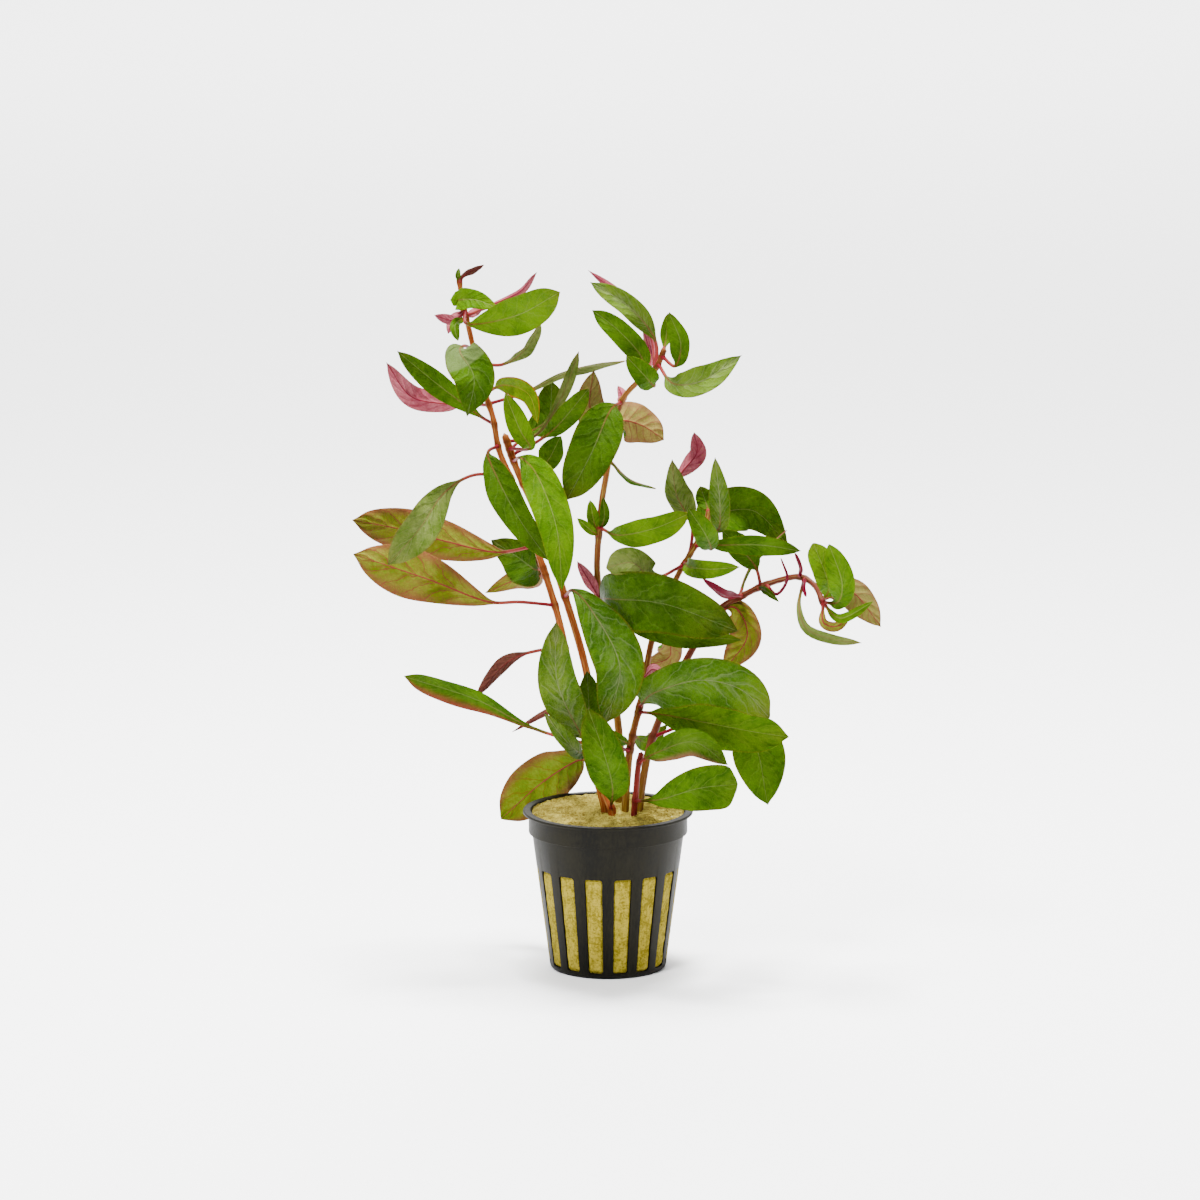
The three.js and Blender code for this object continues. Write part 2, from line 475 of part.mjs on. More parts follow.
// The room that a leaf's petiole needs where it leaves the stem
function petioleRoom(leaf) {
  return rodSolid(leafPath(leaf), 3, leaf.petiole, () => PETIOLE_RADIUS + GAP);
}

// The largest body left of a solid once its neighbours are cut away
function trimmed(solid, neighbours) {
  const rest = neighbours.reduce((left, neighbour) => left.subtract(neighbour), solid);
  const bodies = rest.decompose();
  return bodies.reduce((best, body) => (body.volume() > best.volume() ? body : best));
}

function lathe(profile, facets) {
  const points = profile.map(([radius, z]) => new THREE.Vector2(radius, z));
  const geometry = new THREE.LatheGeometry(points, facets);
  geometry.rotateX(Math.PI / 2);
  return geometry;
}

// The wall's inner radius at a height below the collar
function innerRadius(z) {
  const bodyTop = POT_HEIGHT - POT_COLLAR_HEIGHT;
  return THREE.MathUtils.mapLinear(z, 0, bodyTop, POT_FOOT_RADIUS - POT_WALL, POT_TOP_RADIUS - POT_WALL);
}

function potSolid() {
  const bodyTop = POT_HEIGHT - POT_COLLAR_HEIGHT;
  const collarInside = POT_COLLAR_RADIUS - POT_WALL;
  const cup = solidOf(lathe([
    [0, 0],
    [POT_FOOT_RADIUS - POT_FOOT_ROUNDING, 0],
    [POT_FOOT_RADIUS, POT_FOOT_ROUNDING],
    [POT_TOP_RADIUS, bodyTop - 0.2],
    [POT_COLLAR_RADIUS, bodyTop],
    [POT_COLLAR_RADIUS, POT_HEIGHT - POT_RIM_THICKNESS],
    [POT_RIM_RADIUS, POT_HEIGHT - POT_RIM_THICKNESS],
    [POT_RIM_RADIUS, POT_HEIGHT],
    [collarInside, POT_HEIGHT],
    [collarInside, bodyTop + POT_WALL],
    [innerRadius(bodyTop), bodyTop],
    [innerRadius(POT_FLOOR), POT_FLOOR],
    [0, POT_FLOOR],
  ], POT_FACETS));
  const cutters = [];
  const half = THREE.MathUtils.degToRad(SLOT_DEGREES / 2);
  for (let slot = 0; slot < SLOT_COUNT; slot += 1) {
    const middle = (2 * Math.PI * (slot + 0.5)) / SLOT_COUNT - Math.PI / 2;
    const wedge = new THREE.Shape([
      new THREE.Vector2(0, 0),
      new THREE.Vector2(POT_RIM_RADIUS, -POT_RIM_RADIUS * Math.tan(half)),
      new THREE.Vector2(POT_RIM_RADIUS, POT_RIM_RADIUS * Math.tan(half)),
    ]);
    const block = new THREE.ExtrudeGeometry(wedge, {
      depth: SLOT_HEAD_Z - SLOT_FOOT_Z, bevelEnabled: false, steps: 1,
    });
    block.rotateZ(middle);
    block.translate(0, 0, SLOT_FOOT_Z);
    cutters.push(solidOf(block));
  }
  for (let drain = 0; drain < DRAIN_COUNT; drain += 1) {
    const angle = (2 * Math.PI * drain) / DRAIN_COUNT;
    const hole = new THREE.CylinderGeometry(DRAIN_RADIUS, DRAIN_RADIUS, 4 * POT_FLOOR, 8);
    hole.rotateX(Math.PI / 2);
    hole.translate(DRAIN_CIRCLE_RADIUS * Math.cos(angle), DRAIN_CIRCLE_RADIUS * Math.sin(angle), 0);
    cutters.push(solidOf(hole));
  }
  return cutters.reduce((left, cutter) => left.subtract(cutter), cup);
}

function woolSolid() {
  const bodyTop = POT_HEIGHT - POT_COLLAR_HEIGHT;
  const foot = POT_FLOOR + GAP;
  const collarInside = POT_COLLAR_RADIUS - POT_WALL - GAP;
  return solidOf(lathe([
    [0, foot],
    [innerRadius(foot) - GAP, foot],
    [innerRadius(bodyTop) - GAP, bodyTop + GAP],
    [collarInside - GAP, bodyTop + POT_WALL + GAP],
    [collarInside, WOOL_EDGE_Z - 1],
    [collarInside - 1, WOOL_EDGE_Z],
    [collarInside / 2, WOOL_CROWN_Z - GAP],
    [0, WOOL_CROWN_Z],
  ], WOOL_FACETS));
}

const plant = new THREE.Group();

function addPiece(name, solid, colour, roughness) {
  const material = new THREE.MeshStandardMaterial({ color: colour, roughness, metalness: 0 });
  const mesh = new THREE.Mesh(geometryOf(solid), material);
  mesh.name = name;
  plant.add(mesh);
}

const pot = potSolid();
addPiece("net_pot", pot, 0x32322d, 0.6);

// Each stem gives way to the stems built before it
const built = {};
const grown = {};
for (const [name, stem] of Object.entries(STEMS)) {
  built[name] = trimmed(stemSolid(stem, 0), Object.values(grown));
  grown[name] = stemSolid(stem, GAP);
}
const stemRoom = Object.values(grown);
addPiece("rockwool", trimmed(woolSolid(), stemRoom), 0xc8b464, 0.95);

const shoots = {};
for (const [name, stem] of Object.entries(STEMS)) {
  const others = Object.keys(grown).filter((other) => other !== name).map((other) => grown[other]);
  const leaflets = LEAFLETS.filter((leaflet) => leaflet.on === name).map(leafletSolid);
  const shoot = leaflets.reduce((whole, leaflet) => whole.add(leaflet), built[name]);
  shoots[name] = trimmed(shoot, others);
  addPiece(`stem_${name}`, shoots[name], stem.colour, 0.5);
}

// Each leaf gives way to the stems, with their shoots, and to the petioles built before it
const counts = {};
const taken = [...stemRoom, ...Object.values(shoots)];
for (const leaf of LEAVES) {
  counts[leaf.on] = (counts[leaf.on] ?? 0) + 1;
  const solid = trimmed(leafSolid(leaf, PETIOLE_STATIONS, BLADE_STATIONS), taken);
  const showsUnderside = Math.abs(leaf.roll) > 90;
  addPiece(`leaf_${leaf.on}_${counts[leaf.on]}`, solid, showsUnderside ? 0x8c8c28 : 0x4a7a1a, 0.5);
  taken.push(petioleRoom(leaf));
}

export default plant;
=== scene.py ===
"""A potted ludwigia, an aquarium stem plant in its net pot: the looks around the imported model."""
import math

import bmesh
import bpy
import numpy as np
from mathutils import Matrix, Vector


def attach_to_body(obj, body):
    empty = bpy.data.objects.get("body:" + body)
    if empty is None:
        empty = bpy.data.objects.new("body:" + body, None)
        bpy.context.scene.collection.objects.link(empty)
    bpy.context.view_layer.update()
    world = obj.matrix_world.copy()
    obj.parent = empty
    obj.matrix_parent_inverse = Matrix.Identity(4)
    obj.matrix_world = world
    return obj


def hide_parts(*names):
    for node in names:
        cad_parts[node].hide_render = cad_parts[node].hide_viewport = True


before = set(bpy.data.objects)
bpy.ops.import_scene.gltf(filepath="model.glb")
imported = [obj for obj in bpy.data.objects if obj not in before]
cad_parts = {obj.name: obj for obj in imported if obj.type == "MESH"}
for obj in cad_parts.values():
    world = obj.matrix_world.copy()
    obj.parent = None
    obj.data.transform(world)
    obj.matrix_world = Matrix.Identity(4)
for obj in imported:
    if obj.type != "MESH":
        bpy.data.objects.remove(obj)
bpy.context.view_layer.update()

MM = 0.001

# The photograph's view: millimetres at the distance of the point that the eye aims at
PHOTO_PIXELS = 1200
PHOTO_MIDDLE = PHOTO_PIXELS / 2
MM_PER_PIXEL = 0.32136
EYE_DISTANCE = 2000.0
EYE_PITCH = math.radians(11)
AIM = np.array([-2.6, 0.0, 121.0])
SENSOR = 36.0

# A place on the plant is (u, v, d): the photograph's pixels, and steps of depth behind the pot's
# axis along the sight line. Above the wool the shoots on the left lean away from the viewer and
# those in the middle lean forward.
DEPTH_STEP = 2.1
SWAY = 20.0
SWAY_START_V = 800
SWAY_FULL_V = 300
SWAY_TURN_U = 570
SWAY_HALF_WAVE = 210

FORWARD = np.array([0.0, math.cos(EYE_PITCH), -math.sin(EYE_PITCH)])
UPWARD = np.array([0.0, math.sin(EYE_PITCH), math.cos(EYE_PITCH)])
RIGHTWARD = np.array([1.0, 0.0, 0.0])
EYE = AIM - FORWARD * EYE_DISTANCE

# Light: each lamp's place and target and its width in metres, and its power in watts
LAMPS = {
    "key_light": ((-0.5, -0.9, 1.4), (0.0, 0.0, 0.1), 0.4, 44.0),
    "top_light": ((0.0, 0.1, 1.2), (0.0, 0.0, 0.1), 0.3, 66.0),
    "backdrop_light": ((0.0, 3.2, 2.2), (0.0, 3.2, 0.0), 3.0, 330.0),
}
ROOM_GLOW = 0.65
FLOOR_HALF_WIDTH = 9.0

# How bright the light makes a white surface, against the photograph's tones
LIGHT_STRENGTH = 2.8

# Net pot, in millimetres
POT_HEIGHT = 52.0
POT_RIM_RADIUS = 27.5
POT_RIM_THICKNESS = 0.9
POT_COLLAR_RADIUS = 25.7
POT_COLLAR_HEIGHT = 7.2
POT_TOP_RADIUS = 24.6
POT_FOOT_RADIUS = 18.75
POT_FOOT_ROUNDING = 1.3
POT_WALL = 0.8
POT_FLOOR = 1.4
POT_EDGE_ROUNDING = 0.16
POT_SEGMENTS = 240
SLOT_COUNT = 15
SLOT_STEP = 2 * math.pi / SLOT_COUNT
SLOT_DEGREES = 14.6
SLOT_FOOT_Z = 1.9
SLOT_HEAD_Z = 33.9
SLOT_ROUNDING = 0.9
SLOT_CUT_RADII = (12.0, 30.0)
DRAIN_COUNT = 5
DRAIN_RADIUS = 2.5
DRAIN_CIRCLE_RADIUS = 11.0
DRAIN_SIDES = 28
DRAIN_CUT_HEIGHTS = (-3.0, 6.0)

# Rockwool
WOOL_EDGE_Z = 50.9
WOOL_CROWN_Z = 52.1
WOOL_WALL_GAP = 0.1
WOOL_COLLAR_GAP = 0.15
WOOL_BULGE = 0.72
WOOL_SEGMENTS = 420
WOOL_SEED = 7
FIBRE_COUNT = 4000
FIBRE_STEPS = 6
FIBRE_LENGTHS = (1.5, 5.5)
FIBRE_RADII = (0.045, 0.085)
FIBRE_LIFTS = (0.1, 0.75)
FIBRE_COLLAR_GAP = 0.4
FIBRE_SEED = 11

# Leaves: the side veins leave the midrib in pairs, and the blade arches up between them
PETIOLE_RADIUS = 0.55
PETIOLE_ROWS = 12
BLADE_HALF_THICKNESS = 0.2
BLADE_TIP_HALF_WIDTH = 0.02
BLADE_ROWS = 44
FLARE = 0.7
FLARE_REACH = 1.1
FLAT_FROM = 0.12
VEIN_PAIRS = 7.0
VEIN_SLANT = 1.6
VEIN_BEND = 0.85
ARCH_HEIGHT = 0.13
EDGE_WAVE = 0.045
EDGE_SWELL = 0.03
GROOVE_DEPTH = 0.16
GROOVE_REACH = 0.42
KEEL_DEPTH = 0.34
KEEL_REACH = 0.5
SHARP_EDGE = math.radians(48)
LEAF_SEED = 100
VEINS_APART = 40.0

# Small leaves, the narrow ones with fewer rows
LEAFLET = {"petiole": 0.12, "fold": 12, "curl": 10}
NARROW_LEAFLET = 7
NARROW_ROWS = 24
LEAFLET_SEED = 400

# Stems
STEM_BURIED_Z = 36.0
STEM_SIDES = 20
STEM_ROW_LENGTH = 0.9
NODE_SWELLING = 0.24
NODE_REACH = 1.0
RIDGE_COUNT = 5
RIDGE_HEIGHT = 0.05
RIDGE_TWIST = 1.5
BUMP_HEIGHT = 0.012

# Stems: places from the wool to the tip, the radii at both ends in mm, and the finish
STEMS = {
    "left": {
        "places": [(605, 812, -3), (597, 780, -3), (575, 700, -3), (560, 625, -2), (547, 580, -1),
                   (515, 488, 0), (499, 450, 0), (493, 418, 0), (484, 390, 1), (475, 355, 2),
                   (468, 325, 2), (462, 300, 2), (459, 278, 2)],
        "radii": (1.35, 0.8), "finish": "stem_orange"},
    "left_twin": {
        "places": [(612, 813, -4.5), (603, 790, -3), (587, 675, 2), (566, 600, 3), (535, 510, 4),
                   (517, 470, 4), (505, 436, 3.6)],
        "radii": (1.3, 1.1), "finish": "stem_orange"},
    "middle": {
        "places": [(619, 805, 4), (621, 770, 5), (618, 725, 6), (609, 660, 6), (601, 605, 5),
                   (597, 570, 4), (599, 530, 4), (602, 500, 4), (608, 465, 4), (612, 430, 4),
                   (622, 400, 3), (640, 380, 2), (656, 368, 1), (664, 350, 1)],
        "radii": (1.35, 0.8), "finish": "stem_olive"},
    "right": {
        "places": [(625, 812, -2.5), (627, 780, -2.5), (631, 742, -2), (641, 700, 0), (652, 640, 2),
                   (665, 605, 2), (680, 571, 1), (694, 548, 0), (704, 530, 0), (709, 512, 1)],
        "radii": (1.3, 0.8), "finish": "stem_olive"},
    "arching": {
        "places": [(639, 812, -2), (643, 780, -1), (650, 745, 2), (661, 715, 5), (676, 680, 7),
                   (705, 628, 8), (722, 607, 6), (740, 597, 4), (760, 587, 2), (780, 580, 0),
                   (800, 577, -3), (815, 586, -6), (823, 603, -8)],
        "radii": (1.35, 0.9), "finish": "stem_brown"},
    "short": {
        "places": [(634, 813, -4.6), (636, 790, -5.4), (638, 768, -5.8), (641, 754, -6)],
        "radii": (1.1, 0.9), "finish": "stem_red"},
}

# Leaves: the stem, the places from the stem to the tip, the share of that length that is petiole,
# the blade's greatest width in mm, the roll about the midrib in degrees (0 shows the upper side to
# the viewer, 180 the underside), the fold along the midrib and the curl of the edges in degrees,
# the taper to the base and to the tip (below 1 is rounded, 1 is straight), and the finishes of the
# upper side and the underside.
LEAVES = [
    ("left", [(466, 312, 0), (468, 324, -4), (515, 316, -8), (560, 292, -11)],
     0.22, 13, 8, 10, 12, (1.05, 0.75), "bright", "olive"),
    ("left", [(462, 303, 1), (459, 300, -2), (475, 300, -4), (497, 308, -5)],
     0.2, 7.2, -10, 8, 10, (0.45, 0.75), "bright", "olive"),
    ("left", [(482, 360, 2), (500, 365, 2), (524, 350, 1), (541, 323, 0)],
     0.3, 6.2, 55, 15, 10, (1, 0.9), "sage", "olive"),
    ("left", [(473, 349, -1), (464, 346, -5), (460, 352, -9), (474, 378, -12), (467, 417, -12)],
     0.38, 14.5, 0, 12, 12, (0.9, 1.05), "folded", "olive"),
    ("left", [(493, 425, 0), (480, 416, 3), (440, 386, 4), (397, 351, 2)],
     0.16, 8, -12, 12, 10, (1.1, 0.9), "green", "olive"),
    ("left", [(490, 406, 1), (465, 404, 9), (440, 403, 12), (412, 397, 12), (386, 362, 10)],
     0.38, 7.8, 165, 10, 15, (0.8, 1), "green", "pink"),
    ("left", [(489, 388, -1), (506, 385, -5), (530, 396, -9), (538, 424, -11)],
     0.2, 7, 20, 10, 25, (0.8, 0.9), "rimmed", "rust"),
    ("left_twin", [(506, 450, 2), (530, 447, -3), (521, 432, -6), (505, 393, -8)],
     0.4, 7.2, 5, 10, 15, (0.9, 0.8), "bright", "olive"),
    ("left", [(492, 406, 2), (526, 392, 8), (568, 372, 12), (626, 361, 12)],
     0.25, 5.6, 66, 10, 10, (1, 1), "sage", "tan"),
    ("left_twin", [(509, 450, 5), (527, 434, 11), (548, 418, 16), (552, 381, 17)],
     0.4, 11, -10, 8, 10, (0.7, 0.7), "dark", "olive"),
    ("left_twin", [(511, 455, 5), (535, 443, 6), (556, 427, 5), (589, 388, 3)],
     0.3, 7.8, 15, 10, 10, (0.9, 0.8), "green", "olive"),
    ("left", [(498, 446, -1), (488, 453, -5), (496, 475, -9), (520, 520, -13), (550, 562, -13)],
     0.17, 11, 14, 14, 10, (0.9, 0.9), "dark", "olive"),
    ("left_twin", [(510, 462, 2), (523, 459, -5), (538, 477, -10), (557, 530, -14),
      (562, 591, -15)],
     0.2, 12.6, 0, 10, 12, (1.1, 0.9), "bright", "olive"),
    ("left_twin", [(524, 484, 4), (533, 475, 5), (547, 462, 6), (561, 436, 6)],
     0.3, 8.5, -15, 10, 10, (0.8, 0.8), "green", "olive"),
    ("left", [(510, 478, -1), (474, 475, -6), (444, 493, -10), (420, 528, -13), (388, 565, -12)],
     0.34, 12, -10, 10, 15, (1.2, 0.75), "sage", "olive"),
    ("left", [(534, 548, 0), (495, 552, 5), (445, 541, 8), (400, 529, 8), (352, 520, 5)],
     0.2, 14.5, 175, 8, 10, (1.1, 0.85), "green", "olive"),
    ("left", [(553, 605, -3), (520, 602, -6), (490, 602, -6), (430, 580, -7), (353, 554, -4)],
     0.28, 16.5, 178, 8, 10, (1.3, 0.85), "green", "olive"),
    ("left", [(543, 570, 2), (534, 569, 7), (516, 556, 13), (491, 540, 14)],
     0.18, 15, 5, 8, 10, (0.55, 0.75), "dark", "olive"),
    ("left", [(564, 648, -2), (536, 651, 0), (510, 660, 0), (475, 697, -2)],
     0.4, 5.2, 150, 15, 10, (0.9, 1), "green", "rust"),
    ("left_twin", [(565, 596, 1), (574, 591, -4), (590, 608, -8), (620, 668, -13),
      (604, 725, -14)],
     0.18, 16.5, 0, 10, 12, (1.4, 0.85), "veined", "olive"),
    ("left", [(586, 742, -3), (579, 731, -9), (557, 680, -15), (556, 622, -14)],
     0.14, 13, 5, 10, 12, (0.85, 0.75), "pale", "olive"),
    ("left_twin", [(598, 752, -1), (592, 738, -3), (589, 708, -6), (587, 671, -7)],
     0.26, 9, 20, 12, 12, (0.8, 0.8), "dark", "olive"),
    ("left_twin", [(616, 803, -10), (612, 783, -14), (603, 750, -17), (588, 708, -17)],
     0.1, 14, -5, 12, 12, (1.4, 0.8), "green", "olive"),
    ("right", [(628, 752, -4), (605, 747, -9), (575, 741, -9), (530, 727, -7), (478, 700, -6),
      (404, 676, -6)],
     0.42, 9.5, -30, 12, 12, (1.7, 0.75), "strip_below", "olive"),
    ("left", [(590, 757, -1), (574, 762, 7), (540, 784, 13), (501, 819, 15)],
     0.16, 17.5, 172, 6, 8, (1.2, 0.65), "green", "green_below"),
    ("middle", [(618, 404, 2), (610, 411, -2), (592, 452, -8), (567, 500, -10)],
     0.1, 16, 5, 12, 15, (0.8, 0.8), "dark", "tan"),
    ("middle", [(613, 426, 6), (622, 421, 8), (643, 426, 11), (664, 440, 12)],
     0.15, 13.5, 172, 8, 10, (0.6, 0.8), "green", "tan"),
    ("middle", [(611, 442, 6), (598, 430, 9), (590, 405, 11), (594, 370, 11)],
     0.15, 11, 168, 8, 10, (0.7, 0.9), "green", "drab"),
    ("middle", [(657, 366, 1), (655, 340, 3), (630, 308, 1), (590, 282, -2)],
     0.22, 7.5, 10, 12, 10, (0.9, 0.9), "pale", "pink"),
    ("middle", [(644, 377, 2), (641, 356, -3), (618, 330, -6), (592, 310, -7)],
     0.16, 8, -5, 12, 10, (0.9, 0.8), "green", "olive"),
    ("middle", [(662, 356, 1), (675, 366, -1), (681, 345, -2), (669, 312, -3)],
     0.24, 7.5, -20, 14, 10, (0.8, 0.9), "green", "pink"),
    ("middle", [(650, 372, 1), (654, 386, -4), (644, 375, -8), (626, 356, -9)],
     0.42, 7.8, 0, 8, 10, (0.7, 0.8), "green", "olive"),
    ("middle", [(663, 372, -1), (674, 384, -4), (702, 381, -7), (742, 355, -8)],
     0.18, 9.5, -15, 12, 10, (0.8, 1), "pale", "pink"),
    ("middle", [(602, 531, 2), (620, 535, -3), (655, 528, -5), (690, 513, -7)],
     0.2, 10, 20, 12, 10, (1.2, 0.8), "bright", "olive"),
    ("middle", [(602, 603, 3), (612, 599, -6), (665, 604, -11), (738, 631, -13)],
     0.08, 20, 10, 10, 12, (0.9, 0.75), "dark", "olive"),
    ("middle", [(604, 613, 3), (626, 616, -3), (668, 632, -6), (742, 640, -10)],
     0.16, 9, 25, 10, 10, (0.9, 0.8), "green", "olive"),
    ("right", [(677, 568, -1), (652, 578, -5), (632, 563, -7), (606, 568, -8.5)],
     0.3, 10.4, 27, 12, 15, (0.7, 0.5), "sage", "tan"),
    ("right", [(690, 556, 0), (692, 525, 1), (677, 495, 1), (672, 459, 1)],
     0.35, 9.6, 160, 18, 10, (0.5, 1), "green", "sage"),
    ("right", [(698, 541, 0), (688, 505, 6), (680, 478, 8), (697, 453, 8), (694, 432, 7)],
     0.56, 6.2, 160, 12, 10, (0.8, 0.9), "green", "pink"),
    ("right", [(700, 538, 0), (711, 549, -6), (704, 532, -11), (688, 508, -12)],
     0.32, 7.8, 0, 8, 10, (0.9, 0.8), "green", "olive"),
    ("right", [(706, 524, 0), (718, 530, -4), (720, 505, -7), (715, 457, -7)],
     0.18, 7, -10, 12, 10, (0.8, 0.9), "pale", "olive"),
    ("right", [(704, 530, 0), (714, 516, 8), (754, 511, 11), (789, 546, 9)],
     0.14, 15.5, -5, 10, 12, (0.55, 0.9), "green", "olive"),
    ("arching", [(759, 583, 2), (756, 568, 1), (742, 550, 1), (722, 530, 1)],
     0.25, 8.5, 5, 10, 10, (0.8, 0.8), "dark", "olive"),
    ("right", [(696, 546, 0), (722, 545, -5), (762, 545, -9), (801, 551, -10)],
     0.16, 7, 15, 10, 12, (0.9, 0.8), "green", "olive"),
    ("right", [(684, 565, 0), (690, 567, -5), (712, 569, -10), (740, 567, -11)],
     0.1, 6.8, 20, 10, 10, (0.8, 0.8), "bright", "olive"),
    ("arching", [(717, 613, 7), (735, 608, 4), (747, 635, 2), (722, 672, 0)],
     0.15, 11.5, 165, 10, 12, (0.7, 0.9), "green", "olive"),
    ("right", [(655, 636, 3), (668, 640, 8), (668, 658, 11), (642, 666, 12)],
     0.15, 9, 165, 8, 12, (0.7, 0.8), "green", "tan"),
    ("right", [(641, 707, -2), (656, 692, -8), (702, 680, -11), (742, 690, -14), (770, 718, -15)],
     0.06, 16.5, 8, 10, 12, (0.9, 0.65), "veined", "olive"),
    ("right", [(641, 713, -2), (660, 714, -4), (704, 722, -5.5), (750, 731, -7), (789, 737, -8)],
     0.1, 16, 20, 10, 12, (1.1, 0.75), "bright", "olive"),
    ("arching", [(655, 738, 3), (700, 722, 2), (750, 737, -3), (768, 805, -5)],
     0.42, 17, 0, 10, 12, (0.8, 0.85), "green", "olive"),
]

# Small leaves, buds and rootlets of the shoot tips and nodes: the stem, the places, the width, the
# roll, the taper and the finishes
LEAFLETS = [
    ("left", [(460, 282, 2), (464, 275, 1), (484, 265, 0)], 2.6, 40, (0.9, 0.9), "rust", "rust"),
    ("left", [(459, 281, 2), (458, 275, 1), (459, 268, 1)], 1.8, 0, (0.9, 0.9), "green", "tan"),
    ("left", [(465, 312, 2), (452, 320, -1), (434, 315, -2)],
     3.6, 165, (0.9, 0.9), "green", "pink"),
    ("left", [(463, 310, 2), (453, 319, 1), (448, 334, 0)], 3, 165, (0.9, 0.9), "green", "pink"),
    ("left", [(463, 318, 2), (455, 326, -2), (458, 341, -3)], 3.4, 10, (0.9, 0.7), "green", "pink"),
    ("left", [(465, 318, 3), (474, 312, 4), (484, 306, 4)], 3.2, 165, (0.9, 0.9), "green", "pink"),
    ("left", [(464, 316, 3), (490, 306, 4), (520, 292, 3), (537, 272, 1)],
     2.6, 165, (1.2, 0.9), "green", "pink"),
    ("left_twin", [(588, 700, 2), (560, 706, 6), (512, 732, 8)],
     2.4, 160, (0.9, 0.9), "green", "rust"),
    ("left_twin", [(507, 442, 3.6), (535, 436, 8), (560, 400, 10), (579, 351, 9)],
     4.2, 20, (2, 0.9), "sage", "olive"),
    ("left", [(546, 576, 0), (534, 577, 8), (510, 582, 16), (485, 593, 18)],
     8, 172, (0.75, 0.8), "green", "olive"),
    ("left", [(587, 741, -3), (582, 753, -9), (566, 741, -15), (544, 713, -16)],
     6.2, 20, (1.2, 0.8), "pale", "olive"),
    ("middle", [(599, 535, 4), (594, 522, 3), (590, 500, 2)], 4.2, 0, (0.9, 0.9), "bright", "pink"),
    ("middle", [(598, 532, 4), (604, 518, 3), (603, 497, 3)],
     3.6, 20, (0.9, 0.9), "green", "olive"),
    ("middle", [(597, 538, 3), (587, 527, 1), (577, 518, 0)],
     3.2, 0, (0.9, 0.9), "bright", "olive"),
    ("middle", [(609, 462, 3), (630, 480, -1), (656, 489, -3)],
     3.2, 70, (0.9, 0.9), "green", "olive"),
    ("middle", [(664, 352, 1), (666, 338, 3), (668, 313, 4)], 4.2, 0, (0.9, 0.9), "green", "olive"),
    ("middle", [(654, 368, 3), (650, 352, 5), (643, 328, 6)], 3, 165, (0.9, 0.9), "green", "pink"),
    ("middle", [(657, 362, 3), (650, 335, 6), (625, 300, 5), (588, 270, 3)],
     3.2, 165, (1.2, 0.9), "green", "pink"),
    ("middle", [(600, 600, 5), (590, 582, 2), (577, 561, 1)],
     4.2, 165, (0.9, 0.9), "green", "pink"),
    ("middle", [(618, 405, 4), (622, 396, 6), (618, 386, 8)],
     3.4, 165, (0.9, 0.9), "green", "pink"),
    ("right", [(709, 513, 1), (706, 503, 3), (700, 486, 4)], 6.4, 0, (0.7, 0.8), "dark", "olive"),
    ("right", [(645, 678, 0), (655, 670, -3), (671, 682, -4)],
     4.6, 150, (0.9, 0.9), "green", "pink"),
    ("right", [(631, 745, -3), (619, 739, -5), (605, 729, -6)],
     3.6, 0, (0.9, 0.9), "green", "olive"),
    ("right", [(634, 735, -1), (650, 741, 6), (668, 724, 8)], 6, 0, (0.9, 0.9), "bright", "olive"),
    ("arching", [(740, 596, 3), (724, 594, -2), (702, 578, -4)],
     3.6, 150, (0.9, 0.9), "crimson", "crimson"),
    ("arching", [(757, 588, 2), (768, 592, -2), (779, 602, -3)],
     2.6, 30, (0.9, 0.9), "dark", "olive"),
    ("arching", [(738, 597, 4), (752, 565, 8), (787, 530, 8)],
     1.8, 60, (0.9, 0.9), "green", "pink"),
    ("arching", [(766, 586, 1), (777, 594, -3), (787, 580, -5), (781, 558, -7)],
     0.9, 30, (0.3, 0.3), "crimson", "crimson"),
    ("arching", [(799, 577, -3), (800, 566, -7), (795, 553, -8)],
     1.5, 30, (0.3, 0.3), "crimson", "crimson"),
    ("arching", [(804, 579, -4), (804, 588, -7), (806, 597, -8)],
     1.4, 30, (0.3, 0.3), "crimson", "crimson"),
    ("arching", [(823, 601, -8), (829, 588, -12), (824, 570, -15), (813, 543, -14)],
     8.8, 10, (0.7, 0.45), "bright", "olive"),
    ("arching", [(823, 602, -8), (838, 602, -13), (842, 582, -17), (829, 544, -18)],
     8.8, -15, (0.9, 0.6), "bright", "olive"),
    ("arching", [(823, 602, -7), (851, 592, -5), (881, 627, -6)],
     11, 165, (0.7, 0.9), "green", "drab"),
    ("arching", [(823, 603, -9), (840, 618, -12), (874, 601, -13)],
     3.4, 20, (0.9, 0.9), "bright", "olive"),
    ("arching", [(822, 606, -8), (824, 623, -10), (837, 626, -11), (852, 611, -11)],
     3.6, 20, (0.9, 0.9), "olive", "olive"),
    ("arching", [(802, 578, -4), (799, 608, -8), (806, 628, -9), (832, 639, -10),
      (862, 643, -10)],
     3.6, 10, (1.6, 0.9), "sage", "olive"),
    ("short", [(638, 762, -6), (658, 752, -10), (694, 742, -12), (728, 765, -12)],
     9.5, 10, (0.8, 0.8), "strip_beside", "tan"),
    ("short", [(635, 804, -6), (662, 799, -13), (700, 788, -16), (738, 784, -15)],
     16, 8, (1.9, 0.5), "green", "olive"),
]


# Camera, floor and light

def add_camera():
    """The photograph's eye: two metres away, pitched down, its frame as wide as the photograph."""
    data = bpy.data.cameras.new("photo_camera")
    data.sensor_width = SENSOR
    data.lens = SENSOR * EYE_DISTANCE / (PHOTO_PIXELS * MM_PER_PIXEL)
    data.clip_end = 100.0
    camera = bpy.data.objects.new("photo_camera", data)
    camera.location = EYE * MM
    camera.rotation_euler = (math.pi / 2 - EYE_PITCH, 0.0, 0.0)
    bpy.context.scene.collection.objects.link(camera)
    bpy.context.scene.camera = camera


